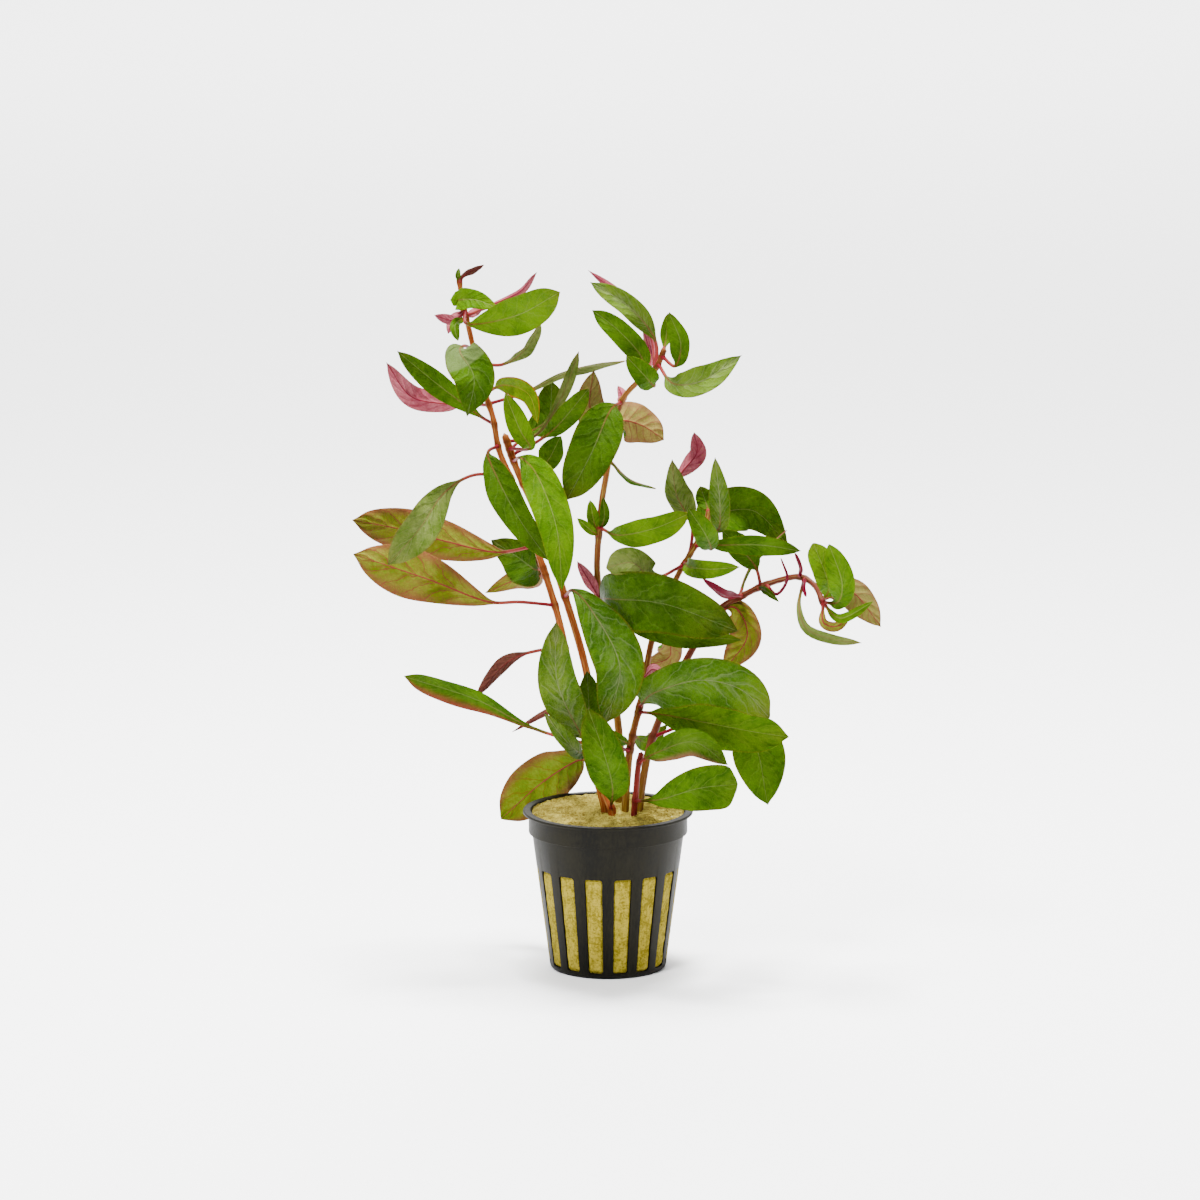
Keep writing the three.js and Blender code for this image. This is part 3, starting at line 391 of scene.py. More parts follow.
def add_lamp(name, location, target, width, power):
    """A soft round lamp, turned to its target."""
    data = bpy.data.lights.new(name, "AREA")
    data.shape = "DISK"
    data.size = width
    data.energy = power
    lamp = bpy.data.objects.new(name, data)
    lamp.location = location
    lamp.rotation_euler = (Vector(target) - lamp.location).to_track_quat("-Z", "Y").to_euler()
    bpy.context.scene.collection.objects.link(lamp)


def add_stage():
    """A white room: an even glow, the lamps and a level floor."""
    world = bpy.data.worlds.new("white_room")
    bpy.context.scene.world = world
    world.use_nodes = True
    background = world.node_tree.nodes["Background"]
    background.inputs["Color"].default_value = (1.0, 1.0, 1.0, 1.0)
    background.inputs["Strength"].default_value = ROOM_GLOW
    for name, lamp in LAMPS.items():
        add_lamp(name, *lamp)

    half = FLOOR_HALF_WIDTH
    mesh = bpy.data.meshes.new("floor")
    mesh.from_pydata([(-half, -half, 0), (half, -half, 0), (half, half, 0), (-half, half, 0)],
                     [], [(0, 1, 2, 3)])
    mesh.materials.append(floor_finish())
    floor = bpy.data.objects.new("floor", mesh)
    bpy.context.scene.collection.objects.link(floor)


# Shader building

class Shader:
    """A material's or a group's node tree, with short calls for the nodes used here."""

    def __init__(self, tree):
        self.tree = tree

    def put(self, socket, value):
        """Links a socket to another one, or gives it a constant."""
        if isinstance(value, bpy.types.NodeSocket):
            self.tree.links.new(value, socket)
        else:
            socket.default_value = value

    def node(self, kind, inputs=None, **settings):
        """A node with its settings, and with links or constants for inputs by name or number."""
        node = self.tree.nodes.new(kind)
        for name, value in settings.items():
            setattr(node, name, value)
        for socket, value in (inputs or {}).items():
            self.put(node.inputs[socket], value)
        return node

    def math(self, operation, *values, clamp=False):
        inputs = dict(enumerate(values))
        return self.node("ShaderNodeMath", inputs, operation=operation, use_clamp=clamp).outputs[0]

    def plus(self, first, second, clamp=False):
        return self.math("ADD", first, second, clamp=clamp)

    def minus(self, first, second):
        return self.math("SUBTRACT", first, second)

    def times(self, first, second):
        return self.math("MULTIPLY", first, second)

    def magnitude(self, value):
        return self.math("ABSOLUTE", value)

    def ramp(self, value, low, high, out_low=0.0, out_high=1.0):
        """Goes smoothly from one output to the other where the value goes from low to high."""
        inputs = dict(enumerate((value, low, high, out_low, out_high)))
        return self.node("ShaderNodeMapRange", inputs, interpolation_type="SMOOTHSTEP").outputs[0]

    def mix(self, share, first, second):
        inputs = {"Factor": share, 6: first, 7: second}
        return self.node("ShaderNodeMix", inputs, data_type="RGBA").outputs[2]

    def noise(self, vector, scale, detail=3.0, roughness=0.5):
        inputs = {"Vector": vector, "Scale": scale, "Detail": detail, "Roughness": roughness}
        return self.node("ShaderNodeTexNoise", inputs).outputs["Fac"]

    def vector(self, x, y, z=0.0):
        return self.node("ShaderNodeCombineXYZ", {0: x, 1: y, 2: z}).outputs[0]

    def places(self, scale=(1.0, 1.0, 1.0)):
        """Object coordinates, stretched along each axis."""
        coordinates = self.node("ShaderNodeTexCoord").outputs["Object"]
        return self.node("ShaderNodeMapping", {"Vector": coordinates, "Scale": scale}).outputs[0]

    def attribute(self, name):
        return self.node("ShaderNodeAttribute", attribute_name=name).outputs["Fac"]

    def bump(self, height, strength, distance):
        inputs = {"Height": height, "Strength": strength, "Distance": distance}
        return self.node("ShaderNodeBump", inputs).outputs[0]

    def group(self, group, **inputs):
        return self.node("ShaderNodeGroup", inputs, node_tree=group).outputs

    def feed(self, **sockets):
        """Gives sockets of the material's shader their links or constants."""
        surface = self.tree.nodes["Principled BSDF"]
        for name, value in sockets.items():
            self.put(surface.inputs[name.replace("_", " ")], value)


def colour(red, green, blue):
    """A surface's colour from the tone of 0 to 255 that the photograph shows under its bright
    light: the tone in linear light, over the light's strength. Tones over 255 are for surfaces
    that stay bright where they are half in shade."""
    share = np.array([red, green, blue]) / 255.0
    linear = np.where(share <= 0.04045, share / 12.92, ((share + 0.055) / 1.055) ** 2.4)
    return (*(linear / LIGHT_STRENGTH).tolist(), 1.0)


def new_material(name, **constants):
    """A material and its tree, with the constants on its shader's own sockets."""
    material = bpy.data.materials.new(name)
    material.use_nodes = True
    s = Shader(material.node_tree)
    s.feed(**constants)
    return material, s


def new_group(name, inputs, outputs):
    """A group with inputs by name and constant, each a number or a vector, and number outputs."""
    tree = bpy.data.node_groups.new(name, "ShaderNodeTree")
    for label, value in inputs.items():
        kind = "NodeSocketVector" if isinstance(value, tuple) else "NodeSocketFloat"
        socket = tree.interface.new_socket(label, in_out="INPUT", socket_type=kind)
        socket.default_value = value
    for label in outputs:
        tree.interface.new_socket(label, in_out="OUTPUT", socket_type="NodeSocketFloat")
    s = Shader(tree)
    return tree, s, s.node("NodeGroupInput").outputs, s.node("NodeGroupOutput").inputs


def leaf_vein_group():
    """Masks of a leaf's veins: a midrib that thins to the tip, side veins that leave it in pairs
    and bend forward, the fine net between them, and streaks of painted sheen that fade from the
    midrib."""
    tree, s, given, out = new_group(
        "leaf_veins",
        {"Across": 0.0, "Along": 0.0, "Reach": 0.0, "Way": 0.0, "Pairs": VEIN_PAIRS,
         "Slant": VEIN_SLANT},
        ["Midrib", "Veins", "Net", "Between", "Painted_Sheen"])
    side = s.magnitude(given["Across"])
    rib_width = s.math("MULTIPLY_ADD", given["Along"], -0.3, 0.42)
    from_rib = s.math("DIVIDE", s.magnitude(given["Reach"]), rib_width)
    s.put(out["Midrib"], s.ramp(from_rib, 0.45, 1.0, 1.0, 0.0))

    flat = s.vector(given["Reach"], given["Way"])
    wobble = s.times(s.minus(s.noise(flat, 0.22, 2.0), 0.5), 0.9)
    bent = s.times(s.math("POWER", side, VEIN_BEND), given["Slant"])
    order = s.plus(s.minus(s.times(given["Along"], given["Pairs"]), bent), wobble)
    from_middle = s.magnitude(s.minus(s.math("FRACT", order), 0.5))
    fade = s.ramp(side, 0.7, 1.0, 1.0, 0.25)
    s.put(out["Veins"], s.times(s.ramp(from_middle, 0.425, 0.49), fade))
    # Highest midway between side veins: it raises the relief there, and the finish uses it to paint
    # highlight
    s.put(out["Between"], s.ramp(from_middle, 0.5, 0.12))

    cells = {"Vector": flat, "Scale": 0.85}
    net = s.node("ShaderNodeTexVoronoi", cells, feature="DISTANCE_TO_EDGE").outputs["Distance"]
    s.put(out["Net"], s.ramp(net, 0.02, 0.12, 1.0, 0.0))

    # Painted sheen: whitish streaks of reflected light in the veins' colour, fading from the midrib
    drawn_out = s.vector(s.times(order, 3.5), s.times(side, 1.6), s.times(given["Way"], 0.05))
    streaks = s.ramp(s.noise(drawn_out, 1.0, 4.0, 0.6), 0.38, 0.66)
    s.put(out["Painted_Sheen"], s.times(streaks, s.ramp(side, 0.05, 0.8, 1.0, 0.0)))
    return tree


def mottle_group():
    """Soft uneven patches at two scales, around a half."""
    tree, s, given, out = new_group(
        "mottle", {"Vector": (0.0, 0.0, 0.0), "Coarse": 90.0, "Fine": 900.0, "Fine Share": 0.3},
        ["Value"])
    coarse, fine = (s.noise(given["Vector"], given[scale]) for scale in ("Coarse", "Fine"))
    parts = {"Factor": given["Fine Share"], 2: coarse, 3: fine}
    s.put(out["Value"], s.node("ShaderNodeMix", parts, data_type="FLOAT").outputs[0])
    return tree


VEINS = leaf_vein_group()
MOTTLE = mottle_group()


# Finishes

# Light goes a little way into leaves and stems, which have a dull gloss
FLESH = {"Subsurface_Weight": 0.06, "Subsurface_Scale": 0.001}
STALK = {"Roughness": 0.42, "Specular_IOR_Level": 0.03, **FLESH}

# Tones of the photograph, from 0 to 255
LEAF_FOOT_BLUSH = (150, 70, 56)
MIDRIB_FOOT = (156, 54, 54)
STEM_SHADE = (118, 48, 22)
STEM_NODE = (86, 38, 20)
POT_DARK = (12, 11, 4)
POT_LIGHT = (38, 35, 22)
POT_DUST = (96, 92, 76)
PACKED_WOOL = ((234, 210, 70), (164, 146, 20))
# Loose wool's tones go over 255: painted light that keeps the wool's top and its fibres bright where
# they lie half in the leaves' shade
LOOSE_WOOL_AND_PAINTED_LIGHT = ((310, 286, 134), (176, 150, 50))
# Painted shade in the gaps between the wool's fibres
WOOL_GAP_SHADE = (104, 90, 22)

# The wool turns from packed to loose, and lighter with painted light, between these heights, in
# metres
LOOSE_AND_LIT_FROM = 0.048
LOOSE_AND_LIT_ABOVE = 0.0505

# The finishes of leaves' sides: the material's name; the tones of its light and dark patches, its
# veins, midrib and edge; the strength of its veins, painted sheen and midrib; its roughness and
# relief.
# Some go on with the share of the width where the edge's colour starts and its strength, the side
# that it keeps to, and the share of the length to which a folded leaf shows its pale flap, a painted
# highlight.
BLADE_FINISHES = {
    "bright": ("leaf_upper_bright",
               [(108, 154, 0), (66, 114, 0), (142, 168, 60), (160, 180, 88), (120, 122, 30)],
               0.28, 0.22, 0.55, 0.4, 0.9),
    "green": ("leaf_upper_green",
              [(88, 132, 0), (46, 88, 0), (124, 152, 62), (142, 162, 84), (106, 88, 30)],
              0.26, 0.22, 0.5, 0.4, 0.9),
    "dark": ("leaf_upper_dark",
             [(70, 108, 0), (32, 64, 0), (106, 132, 62), (122, 142, 78), (88, 72, 28)],
             0.26, 0.24, 0.5, 0.38, 0.9),
    # The sage finish's greyish light tone stands in for the sheen of reflected light on some leaves:
    # painted sheen
    "sage": ("leaf_upper_sage",
             [(136, 152, 72), (80, 110, 20), (162, 170, 106), (148, 124, 80), (126, 92, 62)],
             0.28, 0.34, 0.55, 0.45, 0.8),
    "pale": ("leaf_upper_pale",
             [(112, 144, 34), (62, 102, 4), (160, 172, 116), (156, 168, 110), (116, 102, 46)],
             0.3, 0.42, 0.55, 0.42, 0.9),
    "veined": ("leaf_upper_veined",
               [(88, 132, 6), (46, 88, 0), (148, 168, 108), (156, 168, 110), (106, 88, 30)],
               0.3, 0.34, 0.55, 0.4, 0.9),
    "folded": ("leaf_upper_folded",
               [(78, 118, 0), (42, 80, 0), (122, 142, 80), (132, 154, 84), (106, 88, 30)],
               0.24, 0.16, 0.5, 0.4, 0.9, 0.88, 0.6, 0, 0.42),
    "rimmed": ("leaf_upper_rimmed",
               [(122, 158, 0), (80, 120, 0), (160, 164, 44), (170, 170, 60), (184, 92, 36)],
               0.28, 0.2, 0.5, 0.4, 0.9, 0.76, 0.9),
    "strip_below": ("leaf_upper_strip_below",
                    [(88, 132, 0), (46, 88, 0), (124, 152, 62), (142, 162, 84), (150, 66, 54)],
                    0.26, 0.22, 0.5, 0.4, 0.9, 0.2, 1.0, -1),
    "strip_beside": ("leaf_upper_strip_beside",
                     [(96, 138, 14), (56, 98, 0), (140, 160, 84), (142, 162, 84), (168, 112, 88)],
                     0.26, 0.3, 0.5, 0.4, 0.9, 0.45, 1.0, 1),
    "rust": ("leaf_rust",
             [(142, 86, 72), (100, 54, 48), (84, 32, 34), (104, 40, 40), (90, 38, 34)],
             0.5, 0.2, 0.8, 0.46, 0.7),
    "olive": ("leaf_under_olive",
              [(156, 164, 52), (108, 136, 12), (146, 70, 52), (164, 60, 60), (152, 74, 60)],
              0.8, 0.35, 0.95, 0.5, 0.8, 0.38, 0.85),
    "green_below": ("leaf_under_green",
                    [(144, 168, 36), (102, 142, 8), (132, 86, 40), (176, 66, 66), (148, 76, 58)],
                    0.6, 0.2, 0.95, 0.5, 0.8, 0.42, 0.85),
    "tan": ("leaf_under_tan",
            [(198, 184, 92), (156, 154, 56), (164, 84, 74), (164, 70, 62), (172, 98, 84)],
            0.8, 0.45, 0.95, 0.5, 0.25, 0.45, 0.7),
    "drab": ("leaf_under_drab",
             [(154, 148, 76), (116, 118, 40), (136, 76, 60), (146, 66, 56), (142, 84, 66)],
             0.6, 0.35, 0.9, 0.5, 0.7, 0.55, 0.7),
    "pink": ("leaf_under_pink",
             [(216, 120, 132), (168, 66, 84), (132, 28, 58), (138, 30, 56), (142, 40, 62)],
             0.65, 0.3, 0.9, 0.46, 0.7),
}

# Stalks: the tone next to the blade, and that at the stem
PETIOLE_FINISHES = {
    "crimson": ("petiole_crimson", (128, 0, 40), (112, 0, 30)),
    "petiole_red": ("petiole_red", (168, 74, 62), (154, 34, 46)),
}

# Stems: the tones of the upper and the lower part, and that of their light streaks, partly painted
# highlight
STEM_FINISHES = {
    "stem_orange": ((190, 98, 44), (196, 94, 26), (232, 174, 92)),
    "stem_olive": ((156, 90, 44), (182, 150, 26), (212, 184, 80)),
    "stem_brown": ((124, 60, 44), (180, 146, 26), (186, 140, 90)),
    "stem_red": ((150, 46, 40), (124, 34, 28), (186, 92, 74)),
}


def floor_finish():
    """A white floor, very slightly uneven in tone."""
    material, s = new_material("white_floor", Roughness=0.9)
    mottle = s.noise(s.places(), 3.0, 2.0)
    s.feed(Base_Color=s.mix(mottle, (0.93, 0.93, 0.93, 1.0), (0.95, 0.95, 0.95, 1.0)))
    return material


def blade_finish(name, tones, vein_share, painted_sheen_share, rib_share, gloss, relief, edge_from=0.88,
                 edge_share=0.6, edge_side=0, flap=None):
    """One side of a leaf: mottled between two colours, with veins, midrib, net and edge in theirs,
    painted sheen in the veins' colour near the midrib, and painted highlight between the side veins.
    The edge is both, or the one on the edge side. A folded leaf has a painted highlight from the
    base to the fold, at the flap's share of its length."""
    light, dark, vein, midrib, edge = (colour(*tone) for tone in tones)
    material, s = new_material(
        name, **FLESH, Subsurface_Radius=(0.5, 1.0, 0.15), Specular_IOR_Level=0.01,
        Specular_Tint=(0.85, 1.0, 0.3, 1.0))
    across, along = s.attribute("across"), s.attribute("along")
    veins = s.group(VEINS, Across=across, Along=along, Reach=s.attribute("reach"),
                    Way=s.attribute("way"))
    patches = s.group(MOTTLE, Vector=s.places(), Coarse=110.0, Fine=700.0)["Value"]
    tone = s.plus(s.ramp(patches, 0.36, 0.64), s.attribute("tone"), clamp=True)
    base = s.mix(tone, dark, light)
    # The first layer lightens the blade midway between side veins, where it arches up: painted
    # highlight
    for mask, share, shade in (("Between", 0.25, light), ("Painted_Sheen", painted_sheen_share, vein),
                               ("Net", vein_share * 0.35, vein), ("Veins", vein_share, vein)):
        base = s.mix(s.times(veins[mask], share), base, shade)
    # Painted highlight: a folded leaf's flap is lightened with the veins' colour from the base to
    # the fold
    if flap:
        base = s.mix(s.ramp(along, flap - 0.015, flap + 0.015, 0.75, 0.0), base, vein)
    outward = s.times(across, edge_side) if edge_side else s.magnitude(across)
    rim = s.times(s.ramp(outward, edge_from, 1.0), s.ramp(patches, 0.3, 0.5, 0.4, 1.0))
    base = s.mix(s.times(rim, edge_share), base, edge)
    blush = s.times(s.attribute("blush"), s.ramp(patches, 0.3, 0.6))
    base = s.mix(blush, base, colour(*LEAF_FOOT_BLUSH))
    rib = s.mix(s.ramp(along, 0.02, 0.55), colour(*MIDRIB_FOOT), midrib)
    base = s.mix(s.times(veins["Midrib"], rib_share), base, rib)
    grain = s.noise(s.places(), 2600.0, 2.0)
    height = s.times(veins["Between"], 1.1)
    for mask, rise in ((veins["Net"], -0.3), (veins["Midrib"], -0.8), (grain, 0.3)):
        height = s.plus(height, s.times(mask, rise))
    height = s.times(height, s.attribute("size"))
    s.feed(Base_Color=base, Roughness=s.ramp(patches, 0.2, 0.8, gloss - 0.08, gloss + 0.1),
           Normal=s.bump(height, relief, 0.00032))
    return material


def petiole_finish(name, young, old):
    """A leaf stalk: one colour at the stem that turns to another at the blade."""
    material, s = new_material(name, **STALK)
    streaks = s.noise(s.places((900.0, 900.0, 250.0)), 1.0)
    along = s.ramp(s.plus(s.attribute("along"), s.times(streaks, 0.4)), -0.8, 0.3)
    base = s.mix(along, colour(*old), colour(*young))
    s.feed(Base_Color=base, Normal=s.bump(streaks, 0.3, 0.0001))
    return material


def stem_finish(name, upper, lower, streak):
    """A stem: light and dark streaks along it, partly its own colour and partly painted highlight
    and painted shade, a colour that changes with the way up, and dark node rings."""
    material, s = new_material(name, **STALK)
    drawn_out = s.vector(s.attribute("beside"), s.attribute("facing"),
                         s.times(s.attribute("way"), 0.045))
    streaks = s.noise(drawn_out, 2.4, 4.0, 0.6)
    patches = s.noise(s.places((160.0, 160.0, 70.0)), 1.0)
    height = s.plus(s.attribute("along"), s.math("MULTIPLY_ADD", patches, 0.5, 0.5))
    base = s.mix(s.ramp(height, 0.6, 1.15), colour(*lower), colour(*upper))
    # The light streaks are partly painted highlight, and the dark ones in the stem's shade tone
    # partly painted shade
    for mask, share, tone in ((s.ramp(streaks, 0.5, 0.68), 0.75, streak),
                              (s.ramp(streaks, 0.47, 0.34), 0.4, STEM_SHADE),
                              (s.attribute("node"), 0.6, STEM_NODE)):
        base = s.mix(s.times(mask, share), base, colour(*tone))
    s.feed(Base_Color=base, Normal=s.bump(streaks, 0.3, 0.00025))
    return material


def pot_finish():
    """Moulded black plastic: faint flow mottling, a fine grain and a little dust."""
    material, s = new_material("black_net_pot", Specular_IOR_Level=0.07)
    patches = s.group(MOTTLE, Vector=s.places((1.0, 1.0, 0.35)), Coarse=70.0, Fine=1500.0)["Value"]
    grain = s.noise(s.places(), 4200.0, 3.0, 0.7)
    base = s.mix(s.ramp(patches, 0.38, 0.62), colour(*POT_DARK), colour(*POT_LIGHT))
    base = s.mix(s.times(s.ramp(grain, 0.6, 0.85), 0.25), base, colour(*POT_DUST))
    s.feed(Base_Color=base, Roughness=s.ramp(patches, 0.2, 0.8, 0.42, 0.62),
           Normal=s.bump(grain, 0.25, 0.00008))
    return material


def wool_finish(name, tones):
    """Mineral wool: matted streaks of a pale and a deep tone, with painted shade in the gaps between
    fibres, and on top the loose wool's tones, raised with painted light."""
    material, s = new_material(name, Roughness=0.95, Specular_IOR_Level=0.1)
    lying = s.noise(s.places((300.0, 1500.0, 1500.0)), 1.0, 5.0, 0.65)
    upright = s.noise(s.places((1500.0, 1500.0, 260.0)), 1.0, 5.0, 0.65)
    clumps = s.noise(s.places(), 220.0, 4.0, 0.6)
    grain = s.noise(s.places(), 1500.0, 3.0, 0.7)
    fibres = s.times(s.plus(lying, upright), 0.5)
    fine = s.plus(s.times(fibres, 0.55), s.times(grain, 0.45))
    tone = s.ramp(s.plus(s.times(fine, 0.74), s.times(clumps, 0.26)), 0.43, 0.57)
    # The loose wool's tones carry painted light onto the top of the wool and the fibres
    packed, loose = (s.mix(tone, colour(*deep), colour(*pale)) for pale, deep in (tones, LOOSE_WOOL_AND_PAINTED_LIGHT))
    height = s.node("ShaderNodeSeparateXYZ", {0: s.places()}).outputs[2]
    base = s.mix(s.ramp(height, LOOSE_AND_LIT_FROM, LOOSE_AND_LIT_ABOVE), packed, loose)
    # Painted shade: the wool is darkened in the gaps between its fibres
    base = s.mix(s.ramp(grain, 0.4, 0.26, 0.0, 0.7), base, colour(*WOOL_GAP_SHADE))
    s.feed(Base_Color=base, Normal=s.bump(s.plus(fine, clumps), 1.0, 0.0009))
    return material


# Every finish by name
FINISHES = {
    **{name: blade_finish(*row) for name, row in BLADE_FINISHES.items()},
    **{name: petiole_finish(*row) for name, row in PETIOLE_FINISHES.items()},
    **{name: stem_finish(name, *tones) for name, tones in STEM_FINISHES.items()},
    "pot": pot_finish(),
    "wool": wool_finish("rockwool_yellow", PACKED_WOOL),
    "fibre": wool_finish("rockwool_fibre", LOOSE_WOOL_AND_PAINTED_LIGHT),
}


# Paths through the photograph's places

def place(places):
    """The points on the sight lines through pixels (u, v), at their depths behind the pot."""
    u, v, depth = np.asarray(places, dtype=float).T
    height = (SWAY_START_V - v) / (SWAY_START_V - SWAY_FULL_V)
    wave = np.sin(math.pi * (SWAY_TURN_U - u) / SWAY_HALF_WAVE)
    y = depth * DEPTH_STEP + SWAY * np.maximum(height, 0) * wave
    sight = (FORWARD + ((u - PHOTO_MIDDLE) * MM_PER_PIXEL / EYE_DISTANCE)[:, None] * RIGHTWARD
             + ((PHOTO_MIDDLE - v) * MM_PER_PIXEL / EYE_DISTANCE)[:, None] * UPWARD)
    return EYE + sight * ((y - EYE[1]) / sight[:, 1])[:, None]


class Path:
    """A centripetal Catmull-Rom curve through points, read by shares of its length: between two
    points it is a cubic, whose end slopes weigh the neighbouring chords by the roots of their
    lengths."""

    def __init__(self, points, steps=48):
        p = np.vstack([2 * points[0] - points[1], points, 2 * points[-1] - points[-2]])
        gap = np.linalg.norm(np.diff(p, axis=0), axis=1)[:, None] ** 0.5
        before, start, end, after = p[:-3], p[1:-2], p[2:-1], p[3:]
        d0, d1, d2 = gap[:-2], gap[1:-1], gap[2:]
        slope_in = ((start - before) / d0 - (end - before) / (d0 + d1) + (end - start) / d1) * d1
        slope_out = ((end - start) / d1 - (after - start) / (d1 + d2) + (after - end) / d2) * d1
        t = np.linspace(0, 1, steps, endpoint=False)[None, :, None]
        start, end, slope_in, slope_out = (a[:, None, :] for a in (start, end, slope_in, slope_out))
        curve = ((2 * t**3 - 3 * t**2 + 1) * start + (t**3 - 2 * t**2 + t) * slope_in
                 + (3 * t**2 - 2 * t**3) * end + (t**3 - t**2) * slope_out)
        self.points = np.vstack([curve.reshape(-1, 3), points[-1]])
        steps_long = np.linalg.norm(np.diff(self.points, axis=0), axis=1)
        self.length = steps_long.sum()
        self.shares = np.concatenate([[0], np.cumsum(steps_long)]) / self.length

    def at(self, shares):
        """The points at shares of the length."""
        return np.stack([np.interp(shares, self.shares, c) for c in self.points.T], axis=-1)

    def tangents(self, shares):
        """The directions at shares of the length, from a point behind to a point ahead."""
        step = 0.5 / len(self.points)
        ahead = self.at(np.minimum(shares + step, 1)) - self.at(np.maximum(shares - step, 0))
        return ahead / np.linalg.norm(ahead, axis=1)[:, None]

    def nearest_share(self, point):
        """The share at which the curve comes nearest to a point."""
        return self.shares[np.argmin(np.linalg.norm(self.points - point, axis=1))]


def directions(tangents, roll):
    """Out of the upper side, and to the blade's side, at each tangent: the viewer's direction made
    square to the tangent, and turned about it by the roll."""
    facing = -FORWARD + (tangents @ FORWARD)[:, None] * tangents
    facing /= np.linalg.norm(facing, axis=1)[:, None]
    beside = np.cross(tangents, facing)
    upper = facing * np.cos(roll)[:, None] + beside * np.sin(roll)[:, None]
    return upper, np.cross(tangents, upper)


def stem_path(stem):
    """The stem's path through its places, which starts below the first one, deep in the wool."""
    points = place(STEMS[stem]["places"])
    buried = points[0].copy()
    buried[2] = STEM_BURIED_Z
    return Path(np.vstack([buried, points]))


STEM_PATHS = {stem: stem_path(stem) for stem in STEMS}
NODE_SHARES = {stem: [] for stem in STEMS}


def leaf_path(stem, places):
    """The leaf's path, started in the middle of its stem at the point nearest its first place."""
    points = place(places)
    share = STEM_PATHS[stem].nearest_share(points[0])
    points[0] = STEM_PATHS[stem].at(np.array([share]))[0]
    NODE_SHARES[stem].append(share)
    return Path(points)


# Meshes from rings of points

def round_angles(count):
    """Equal steps round a circle."""
    return np.linspace(0, 2 * math.pi, count, endpoint=False)


def unit_vectors(angle):
    """The direction in the plane at each angle."""
    return np.stack([np.cos(angle), np.sin(angle)], axis=-1)


def carried(path, shares, roll, sideways, upward):
    """Sections carried along a path, a ring of points at each share of it. Each point lies so far
    to the side and so far out of the upper side, both turned about the path by the roll."""
    up, side = directions(path.tangents(shares), roll)
    return (path.at(shares)[:, None, :] + side[:, None, :] * sideways[..., None]
            + up[:, None, :] * upward[..., None])


def grid_faces(rings, sides):
    """Quads between neighbouring rings of points, each ring closed on itself."""
    ring, side = np.meshgrid(np.arange(rings - 1), np.arange(sides), indexing="ij")
    near = ring * sides + side
    beside = ring * sides + (side + 1) % sides
    return np.stack([near, near + sides, beside + sides, beside], axis=-1).reshape(-1, 4)


def closed_tube(rings, ends, turned=False):
    """The points, quads and triangles of a tube through rings of points, closed by fans from its
    two end points. Turned, every face looks the other way."""
    rows, sides = rings.shape[:2]
    first, shift = rows * sides, (rows - 1) * sides
    index = np.arange(sides)
    after = (index + 1) % sides
    low = np.stack([np.full(sides, first), index, after], axis=-1)
    high = np.stack([np.full(sides, first + 1), shift + after, shift + index], axis=-1)
    quads, triangles = grid_faces(rows, sides), np.vstack([low, high])
    if turned:
        quads, triangles = quads[:, ::-1], triangles[:, [0, 2, 1]]
    return np.vstack([rings.reshape(-1, 3), ends]), quads, triangles


def tube_values(rings, values, ends=(0, 0)):
    """One value for each point of a closed tube: those of its rings, and those of its ends."""
    return np.concatenate([np.broadcast_to(values, rings.shape[:2]).ravel(), ends])


def new_piece(name, points, quads, triangles, finishes, attributes=None, finish_of_face=None):
    """An object at the origin from points in millimetres, with faces, finishes and attributes."""
    mesh = bpy.data.meshes.new(name)
    corners = np.concatenate([quads.ravel(), triangles.ravel()]).astype(np.int32)
    sizes = np.repeat([4, 3], [len(quads), len(triangles)])
    mesh.vertices.add(len(points))
    mesh.vertices.foreach_set("co", (points * MM).ravel())
    mesh.loops.add(len(corners))
    mesh.loops.foreach_set("vertex_index", corners)
    mesh.polygons.add(len(sizes))
    mesh.polygons.foreach_set("loop_start", np.concatenate([[0], np.cumsum(sizes)[:-1]]))
    mesh.update(calc_edges=True)
    for finish in finishes:
        mesh.materials.append(FINISHES[finish])
    if finish_of_face is not None:
        mesh.polygons.foreach_set("material_index", finish_of_face.astype(np.int32))
    mesh.shade_smooth()
    for label, values in (attributes or {}).items():
        made = mesh.attributes.new(label, "FLOAT", "POINT")
        made.data.foreach_set("value", values.astype(np.float32))
    mesh.validate()
    piece = bpy.data.objects.new(name, mesh)
    bpy.context.scene.collection.objects.link(piece)
    return piece


def attach(piece, node, slot):
    """Puts a piece on the root body, in a node's place. The material slot is not used."""
    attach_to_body(piece, "root")
    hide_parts(node)


def waves(points, rng, count, length):
    """A smooth random value at each point: the mean of sine waves in random directions, whose
    lengths lie around the given one."""
    ways = rng.normal(size=(count, 3))
    ways /= np.linalg.norm(ways, axis=1)[:, None]
    numbers = 2 * math.pi / (length * rng.uniform(0.5, 1.8, count))
    phases = rng.uniform(0, 2 * math.pi, count)
    return np.sin(points @ (ways * numbers[:, None]).T + phases).mean(axis=-1) * 2


# Leaves

HALF_ACROSS = np.array([0, 0.025, 0.06, 0.12, 0.2, 0.29, 0.39, 0.5, 0.61, 0.71, 0.8, 0.87, 0.93,
                        0.97, 1.0])
ACROSS = np.concatenate([-HALF_ACROSS[::-1], HALF_ACROSS[1:]])
AROUND = np.concatenate([ACROSS, ACROSS[-2:0:-1]])


def blade_outline(share, taper):
    """Half the width as a share of its greatest: the way from the base to the power of one taper,
    times the way to the tip to the power of the other, 1 where the blade is widest. It is drawn
    in a little at the very base and tip."""
    base, tip = taper
    widest_at = base / (base + tip)
    outline = (share / widest_at) ** base * ((1 - share) / (1 - widest_at)) ** tip
    return outline * (1 - 0.45 * np.exp(-((share / 0.07) ** 2))
                      - 0.4 * np.exp(-(((1 - share) / 0.05) ** 2)))


